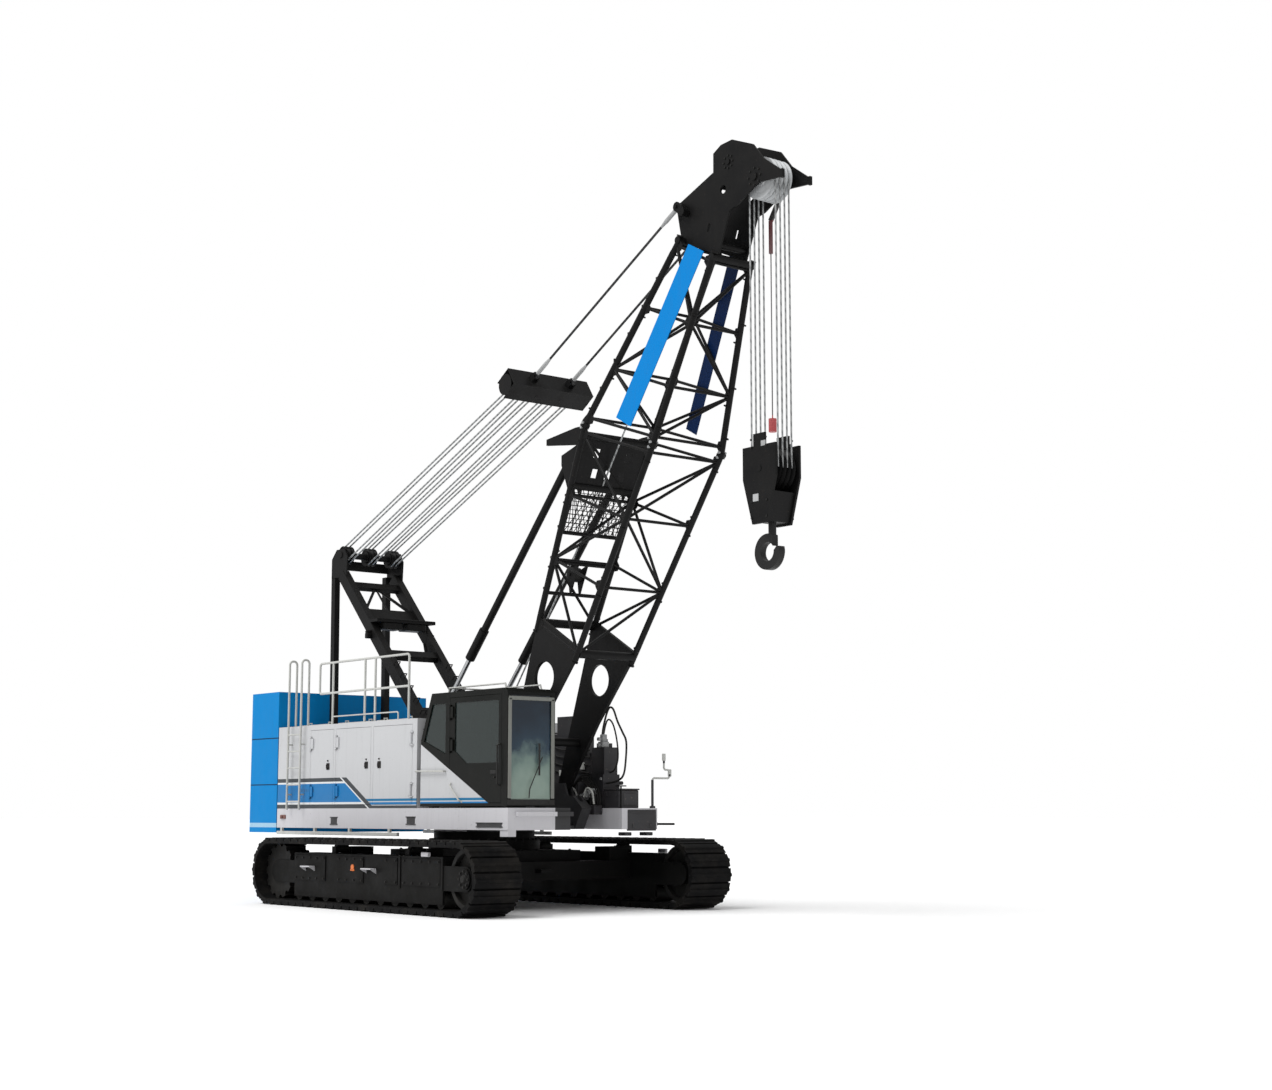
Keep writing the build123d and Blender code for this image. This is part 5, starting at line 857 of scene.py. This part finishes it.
# %% The cab's inside
MIDDLE = (CAB_OUT + CAB_IN) / 2
mesh = bmesh.new()
add_box(mesh, (2.62, MIDDLE - 0.30, 2.02), (2.76, MIDDLE + 0.30, 2.16), 0.02)
add_box(mesh, (2.64, MIDDLE - 0.05, 1.73), (2.74, MIDDLE + 0.05, 2.03), 0.01)
add_box(mesh, (2.60, MIDDLE + 0.12, 2.16), (2.64, MIDDLE + 0.36, 2.36), 0.01)
for side in (-1, 1):
    for x in (1.72, 1.82):
        y = MIDDLE + side * 0.305
        add_tube(mesh, [(x, y, 2.37), (x + 0.02, y, 2.52)], 0.010)
        add_round(mesh, (x + 0.02, y, 2.51), (x + 0.024, y, 2.57), 0.024, sides=12, top=0.018)
for y in (-0.09, 0.09):
    add_box(mesh, (2.28, MIDDLE + y - 0.05, 1.74), (2.44, MIDDLE + y + 0.05, 1.76), 0.005)
finish_piece(mesh, "cab_console", rubber, "upper")

mesh = bmesh.new()
add_box(mesh, (0.96, MIDDLE - 0.14, 2.88), (1.05, MIDDLE + 0.14, 3.10), 0.03)
for y in (MIDDLE - 0.07, MIDDLE + 0.07):
    add_tube(mesh, [(1.01, y, 2.84), (1.01, y, 2.92)], 0.012)
finish_piece(mesh, "seat_headrest", seat_cloth, "upper")

# %% [markdown]
# ## Mirror post and tool box
#
# The bent mirror rod stands in a thicker socket on the left deck's corner. Below it the deck's front is
# a tool box: a thin dark plate with two latches and a hinge bar, over two pads. The plate's dark grey is
# the box's own coat together with painted shade on the deck's forward face.

# %% Mirror post and tool box
LEFT_FRONT = 2.70
POST_X, POST_Y = 2.65, 1.55
OCTAGON = ((-1, -0.8), (-0.8, -1), (0.8, -1), (1, -0.8), (1, 0.8), (0.8, 1), (-0.8, 1), (-1, 0.8))
MIRROR_HALF_WIDTH, MIRROR_HALF_HEIGHT, MIRROR_PLATE = 0.035, 0.06, 0.012
mesh = bmesh.new()
add_round(mesh, (POST_X, POST_Y, 1.66), (POST_X, POST_Y, 2.12), 0.022, sides=12)
add_round(mesh, (POST_X, POST_Y, 1.655), (POST_X, POST_Y, 1.69), 0.05, sides=16, top=0.045)
for y, z in ((1.80, 2.42), (1.92, 2.20)):
    add_round(mesh, (POST_X, y, z - 0.02), (POST_X, y, z + 0.02), 0.018, sides=10)
finish_piece(mesh, "mirror_socket", cabinet_paint, "upper")

mesh = bmesh.new()
for y, z in ((1.80, 2.50), (1.925, 2.24)):
    add_plate(mesh, [(2.655, y + a * MIRROR_HALF_WIDTH, z + b * MIRROR_HALF_HEIGHT) for a, b in OCTAGON], MIRROR_PLATE)
finish_piece(mesh, "mirror_heads", rail_paint, "upper")

# the dark plate over the deck's forward face is the box's dark grey and painted shade of that face
mesh = bmesh.new()
add_box(mesh, (LEFT_FRONT - 0.03, 0.98, 1.285), (LEFT_FRONT + 0.012, 1.585, 1.63), 0.008)
add_box(mesh, (LEFT_FRONT + 0.01, 1.02, 1.575), (LEFT_FRONT + 0.022, 1.545, 1.60), 0.004)
for y in (1.10, 1.46):
    add_box(mesh, (LEFT_FRONT + 0.01, y - 0.03, 1.33), (LEFT_FRONT + 0.024, y + 0.03, 1.40), 0.004)
for y in (1.05, 1.50):
    add_box(mesh, (2.45, y - 0.07, 1.205), (2.64, y + 0.07, 1.262), 0.008)
finish_piece(mesh, "tool_box_front_with_painted_shade", cabinet_paint, "upper")

# %% [markdown]
# ## Machinery by the left deck
#
# Between the boom's foot and the left deck stand a valve manifold, hoses that rise and drop in a loop,
# a low cabinet and a grab post. Hoses are round bars swept along smoothed points; a bevelled curve
# would do as well, but the shared tube helper keeps every bend closed and countable.

# %% A smoothing helper, hoses and fittings


def smooth(points, steps=5):
    """Points on a smooth line through the given ones."""
    points = [Vector(p) for p in points]
    padded = [2 * points[0] - points[1]] + points + [2 * points[-1] - points[-2]]
    made = []
    for a, b, c, d in zip(padded, padded[1:], padded[2:], padded[3:]):
        for k in range(steps):
            t = k / steps
            made.append(0.5 * (2 * b + (c - a) * t + (2 * a - 5 * b + 4 * c - d) * t * t
                               + (3 * b - a - 3 * c + d) * t ** 3))
    return made + [points[-1]]


mesh = bmesh.new()
add_tube(mesh, smooth([
    (2.02, 0.98, 2.64), (2.05, 0.97, 2.95), (2.20, 0.96, 3.28), (2.33, 0.96, 3.30), (2.47, 0.95, 3.08),
    (2.60, 0.95, 2.90), (2.70, 0.95, 2.74), (2.69, 0.95, 2.45), (2.63, 0.95, 2.20), (2.45, 0.96, 2.10),
    (2.12, 0.98, 2.06)]), 0.017)
add_tube(mesh, smooth([
    (1.90, 1.08, 2.64), (1.95, 1.07, 2.90), (2.06, 1.06, 3.12), (2.20, 1.06, 3.06), (2.32, 1.05, 2.80),
    (2.36, 1.05, 2.50), (2.28, 1.05, 2.30), (2.13, 1.06, 2.24)]), 0.014)
for k in range(5):
    y = 0.70 + 0.032 * k
    add_tube(mesh, smooth([(1.30 + 0.02 * k, y, 1.70), (1.55, y, 2.02 + 0.03 * k), (1.85, y + 0.01, 2.10 + 0.02 * k),
                           (2.05 + 0.02 * k, y + 0.01, 1.90), (2.07 + 0.02 * k, y, 1.70)]), 0.012, sides=6)
for k in range(4):
    z = 2.30 + 0.13 * k
    line = [(0.80, 0.885, z), (1.10, 0.872, z - 0.05), (1.45, 0.872, z - 0.02), (1.80, 0.885, z - 0.07)]
    add_tube(mesh, smooth(line), 0.014, sides=6)
finish_piece(mesh, "deck_hoses", rubber, "upper")

mesh = bmesh.new()
add_box(mesh, (1.96, 0.93, 2.66), (2.10, 1.07, 2.76), 0.01)
add_box(mesh, (1.99, 0.95, 2.76), (2.07, 1.05, 2.88), 0.01)
add_round(mesh, (2.03, 0.93, 2.80), (2.03, 0.88, 2.80), 0.03, sides=12)
add_round(mesh, (2.03, 0.88, 2.71), (2.03, 0.93, 2.71), 0.022, sides=6)
for k in range(5):
    x, z = 1.56 + 0.11 * k, 1.70 + 0.045 * k
    add_box(mesh, (x, 0.69, z), (x + 0.06, 0.84, z + 0.10), 0.008)
    add_round(mesh, (x + 0.03, 0.70, z + 0.06), (x + 0.03, 0.665, z + 0.06), 0.018, sides=6)
for x in (1.0, 1.3, 1.6, 2.1):
    add_round(mesh, (x, 0.905, 2.14), (x, 0.88, 2.14), 0.024, sides=6)
finish_piece(mesh, "deck_valve_fittings", bolt_steel, "upper")

mesh = bmesh.new()
add_box(mesh, (2.17, 0.90, 1.650), (2.58, 1.32, 1.95), 0.015)
add_box(mesh, (2.16, 0.89, 1.95), (2.59, 1.33, 1.975), 0.008)
for x in (2.25, 2.50):
    add_box(mesh, (x - 0.02, 0.885, 1.86), (x + 0.02, 0.905, 1.93), 0.004)
add_box(mesh, (2.575, 0.98, 1.70), (2.59, 1.24, 1.90), 0.006)
add_box(mesh, (1.55, 0.68, 1.55), (2.20, 0.85, 1.70), 0.01)
add_box(mesh, (0.95, 0.875, 1.72), (1.45, 0.905, 2.10), 0.01)
for row in range(6):
    add_box(mesh, (1.0, 0.868, 1.78 + 0.05 * row), (1.40, 0.88, 1.80 + 0.05 * row), 0.002)
finish_piece(mesh, "deck_low_cabinet", cabinet_paint, "upper")

mesh = bmesh.new()
add_tube(mesh, [(2.625, 0.90, 1.65), (2.625, 0.90, 2.02)], 0.014)
add_tube(mesh, [(2.50, 0.90, 2.018), (2.76, 0.90, 2.014)], 0.010)
add_tube(mesh, [(2.65, 1.58, 1.394), (2.65, 2.02, 1.392)], 0.018)
add_round(mesh, (2.65, 1.60, 1.394), (2.65, 1.64, 1.394), 0.035, sides=12)
finish_piece(mesh, "deck_post_and_arm", frame_paint, "upper")

mesh = bmesh.new()
add_tube(mesh, smooth([(1.30, 0.70, 1.72), (1.42, 0.69, 1.95), (1.62, 0.685, 1.98), (1.76, 0.69, 1.78)]), 0.016)
add_tube(mesh, smooth([(1.86, 0.69, 1.76), (1.98, 0.685, 1.98), (2.12, 0.69, 1.92), (2.16, 0.70, 1.72)]), 0.016)
add_box(mesh, (0.97, 0.86, 2.20), (1.12, 0.895, 2.30), 0.006)
add_box(mesh, (1.55, 0.86, 2.30), (1.66, 0.895, 2.42), 0.006)
finish_piece(mesh, "deck_pale_pipes", rail_paint, "upper")

# %% [markdown]
# ## Boom details
#
# Each meeting of laces and chord has a gusset plate and a weld bead, and a conduit with clamps runs up
# the right rear chord to the head. The chords' line is worked out from the same few sizes as the boom's,
# so a gusset always sits on its node. Beads are short collars, since a bead's real 8 mm is too fine to
# show.

# %% Chord places
BOOM_FOOT = Vector((1.5, 0, 1.95))
BOOM_ANGLE = math.radians(60.8)
ALONG = Vector((math.cos(BOOM_ANGLE), 0, math.sin(BOOM_ANGLE)))
FACING = Vector((math.sin(BOOM_ANGLE), 0, -math.cos(BOOM_ANGLE)))
FOOT_END, SPLIT, TOP = 2.70, 6.24, 9.27
SKEW = 0.165
HALVES = {FOOT_END: (0.590, 0.570), SPLIT: (0.875, 0.694), TOP: (0.450, 0.388)}


def chord(along, front, side):
    """A chord's centre at a distance along the boom; front and side are 1 or -1."""
    end = FOOT_END if along < SPLIT else TOP
    share = (along - end) / (SPLIT - end)
    depth, width = (a + share * (b - a) for a, b in zip(HALVES[end], HALVES[SPLIT]))
    point = BOOM_FOOT + ALONG * (along + front * SKEW * share) + FACING * (front * depth)
    return Vector((point.x, side * width, point.z))


# %% Gussets, beads and the conduit
STATIONS = (2.76, 3.90, 5.04, 6.12, 6.37, 7.20, 8.23, 9.25)
GUSSET_HALF, GUSSET_DEPTH, BEAD_HALF = 0.13, 0.15, 0.009
PIPE_OUT, BEND_OUT = 0.066, 0.10            # the conduit's distance from the chord's middle
mesh = bmesh.new()
for station in STATIONS:
    for front in (-1, 1):
        for side in (-1, 1):
            here = chord(station, front, side)
            edge = here + Vector((0, side * 0.010, 0))
            tip = edge - front * FACING * GUSSET_DEPTH
            step, short = ALONG * GUSSET_HALF, ALONG * GUSSET_HALF * 0.35
            add_plate(mesh, [edge - step, edge + step, tip + short, tip - short], 0.012)
            for offset in (-0.15, 0.15):
                place = here + ALONG * offset
                add_round(mesh, place - ALONG * BEAD_HALF, place + ALONG * BEAD_HALF, 0.055, sides=16)
finish_piece(mesh, "boom_gussets", boom_paint, "boom")

mesh = bmesh.new()
for start, end in ((2.80, 6.10), (6.40, 9.15)):
    run = [chord(a, -1, -1) - FACING * PIPE_OUT for a in spread(start, end, 7)]
    add_tube(mesh, run, 0.013)
    for place in run[1:-1]:
        add_box(mesh, place - Vector((0.02, 0.02, 0.02)), place + Vector((0.025, 0.02, 0.02)), 0.004)
bend = [chord(a, -1, -1) - FACING * out for a, out in
        ((6.10, PIPE_OUT), (6.2, BEND_OUT), (6.3, BEND_OUT), (6.40, PIPE_OUT))]
add_tube(mesh, smooth(bend, 4), 0.013)
finish_piece(mesh, "boom_conduit", rubber, "boom")

mesh = bmesh.new()
for front in (-1, 1):
    for side in (-1, 1):
        here = chord(SPLIT, front, side)
        for offset in (-0.04, 0.04):
            place = here + ALONG * offset
            for out in (Vector((0, -1, 0)), Vector((0, 1, 0))):
                add_round(mesh, place + out * 0.05, place + out * 0.078, 0.022, sides=12)
finish_piece(mesh, "boom_joint_pins", bolt_steel, "boom")

# %% A denser guard net behind the lower boom
NET_LOW, NET_HIGH = 4.37, 5.20
NET_WIRE, NET_EDGE, NET_LEAN = 0.007, 0.05, 0.42
DIAGONALS, RUNGS = 13, 11
foot, top = chord(NET_LOW, -1, 1), chord(NET_HIGH, -1, 1)
low_half, high_half = foot.y - NET_EDGE, top.y - NET_EDGE
mesh = bmesh.new()
for start_y in spread(-low_half, low_half, DIAGONALS):
    for lean in (-NET_LEAN, NET_LEAN):
        end_y = max(-high_half, min(high_half, start_y + lean))
        add_tube(mesh, [(foot.x, start_y, foot.z), (top.x, end_y, top.z)], NET_WIRE, sides=4)
for k in range(RUNGS):
    place = chord(NET_LOW + (NET_HIGH - NET_LOW) * (k + 0.5) / RUNGS, -1, 1)
    half = place.y - NET_EDGE
    add_tube(mesh, [(place.x, half, place.z), (place.x, -half, place.z)], NET_WIRE, sides=4)
finish_piece(mesh, "boom_guard_net", boom_paint, "boom")

# %% [markdown]
# ## Gantry details
#
# The gantry's front legs carry a small platform, lamps, braces that lean together above it, rope
# guides and climbing rungs. They are boxes and bars placed along the legs' line by its share.

# %% Gantry fittings
LEG_FOOT, LEG_TOP = Vector((0.30, 0, 1.69)), Vector((-4.14, 0, 6.23))


def leg(share, y=0.0):
    """A place on the front legs by its share of the way up."""
    point = LEG_FOOT.lerp(LEG_TOP, share)
    return Vector((point.x, y, point.z))


mesh = bmesh.new()
for side in (-1, 1):
    add_tube(mesh, [leg(0.80, side * 0.47), leg(0.90, side * 0.02)], 0.028)
add_tube(mesh, [leg(0.80), leg(0.90)], 0.02)
platform = leg(0.745)
for y0, y1 in ((-0.46, -0.05), (0.05, 0.46)):
    add_box(mesh, platform + Vector((0.04, y0, -0.16)), platform + Vector((0.38, y1, -0.028)), 0.015)
add_tube(mesh, [platform + Vector((0.42, -0.62, 0.02)), platform + Vector((0.42, 0.62, 0.02))], 0.014)
RUNG = [Vector(p) for p in ((0, -0.05, -0.01), (0.05, -0.05, 0.05), (0.05, 0.05, 0.05), (0, 0.05, -0.01))]
CLAW = [Vector(p) for p in ((0, 0, 0), (0.06, 0, -0.16), (-0.04, 0, -0.26))]
for side in (-1, 1):
    spot = leg(0.70, side * 0.63)
    add_round(mesh, spot, spot + Vector((0, side * 0.10, -0.02)), 0.03, sides=12)
    lamp = spot + Vector((0, side * 0.05, 0))
    add_box(mesh, lamp + Vector((-0.05, -0.05, -0.13)), lamp + Vector((0.05, 0.05, -0.03)), 0.012)
    add_tube(mesh, [leg(0.66, side * 0.42) + p for p in CLAW], 0.026)
    for k in range(9):
        rung = leg(0.14 + 0.05 * k, side * 0.56) + Vector((0.075, 0, 0.075))
        add_tube(mesh, [rung + p for p in RUNG], 0.009, sides=6)
finish_piece(mesh, "gantry_fittings", boom_paint, "upper")

# %% [markdown]
# ## Head and hook block details
#
# The head's side plates carry rings of bolts round the axles; the block's cheeks carry bolts and two
# pale keeper plates. Rows of small prisms are enough, since only their glints show.

# %% Head bolts, block bolts and keeper plates
HEAD_FACE, CHEEK_FACE = 0.296, 0.256
mesh = bmesh.new()
for centre, radius in ((HEAD, 0.13), (GUIDE, 0.10)):
    for side in (-1, 1):
        for x, y, z in ring((centre.x, side * HEAD_FACE, centre.z), radius, 8):
            add_round(mesh, (x, y, z), (x, y + side * 0.014, z), 0.016, sides=6)
finish_piece(mesh, "head_bolts", wheel_steel, "boom")

mesh = bmesh.new()
for side in (-1, 1):
    y = side * CHEEK_FACE
    for z in (5.82, 6.06, 6.86, 6.98):
        for x in (7.12, 7.44):
            add_round(mesh, (x, y, z), (x, y + side * 0.012, z), 0.018, sides=6)
finish_piece(mesh, "block_bolts", wheel_steel, "hook_block")

mesh = bmesh.new()
for side in (-1, 1):
    add_side_box(mesh, side, (7.15, 0.255, 6.06), (7.27, 0.263, 6.17), 0.003)
    add_side_box(mesh, side, (7.33, 0.255, 6.86), (7.43, 0.263, 6.94), 0.003)
finish_piece(mesh, "block_plates", bolt_steel, "hook_block")

# %% Orange marker on the right crawler frame
mesh = bmesh.new()
add_round(mesh, (-0.36, -2.36, 0.69), (-0.36, -2.385, 0.69), 0.055, sides=16, top=0.045)
add_box(mesh, (-0.42, -2.385, 0.63), (-0.30, -2.36, 0.66), 0.006)
finish_piece(mesh, "frame_marker", orange_paint, "base")

# %% [markdown]
# ## Ground, light and view
#
# A pale seamless floor takes the soft shadow. The lamp is a sun high on the machine's right with a wide
# disc, as on a bright overcast day, and the sky fills the shade. The camera sees white behind the machine.

# %% Floor
FLOOR_HALF = 400.0
mesh = bmesh.new()
bmesh.ops.create_grid(mesh, x_segments=8, y_segments=8, size=FLOOR_HALF)
floor_paint, tree, shader = new_material("floor_white_seamless", 0.9)
shader.inputs["Base Color"].default_value = (1.0, 1.0, 1.0, 1.0)
shader.inputs["Specular IOR Level"].default_value = 0.1
data = bpy.data.meshes.new("floor")
mesh.to_mesh(data)
mesh.free()
floor = bpy.data.objects.new("floor", data)
floor.data.materials.append(floor_paint)
bpy.context.scene.collection.objects.link(floor)

# %% Sky: white to the camera and through glass, softer as light and in reflections
AMBIENT = 0.6
world = bpy.data.worlds.new("sky")
bpy.context.scene.world = world
world.use_nodes = True
tree = world.node_tree
tree.nodes.clear()
path = add(tree, "LightPath")
white = add(tree, "Math", {0: path.outputs["Is Camera Ray"], 1: path.outputs["Is Transmission Ray"]},
            operation="MAXIMUM")
strength = add(tree, "MapRange", {"Value": white, "To Min": AMBIENT, "To Max": 1.0})
background = add(tree, "Background", {"Color": (1.0, 1.0, 1.0, 1.0), "Strength": strength})
add(tree, "OutputWorld", {"Surface": background})

# %% Sun
SUN_FROM = Vector((-0.12, -0.75, 1.0))
lamp = bpy.data.lights.new("sun", "SUN")
lamp.energy = 2.2
lamp.angle = math.radians(40)
sun = bpy.data.objects.new("sun", lamp)
sun.rotation_euler = SUN_FROM.to_track_quat("Z", "Y").to_euler()
bpy.context.scene.collection.objects.link(sun)

# %% Camera
EYE = Vector((27.623, -19.046, 1.58))
VIEW_TURN, VIEW_RISE = math.radians(50.97), math.radians(7.895)
lens = bpy.data.cameras.new("camera")
lens.lens = 54.63
lens.sensor_width = 36.0
lens.clip_end = 2000.0
camera = bpy.data.objects.new("camera", lens)
camera.location = EYE
camera.rotation_euler = (math.radians(90) + VIEW_RISE, 0.0, VIEW_TURN)
bpy.context.scene.collection.objects.link(camera)
bpy.context.scene.camera = camera
bpy.context.scene.view_settings.view_transform = "Standard"
print("stage ready")
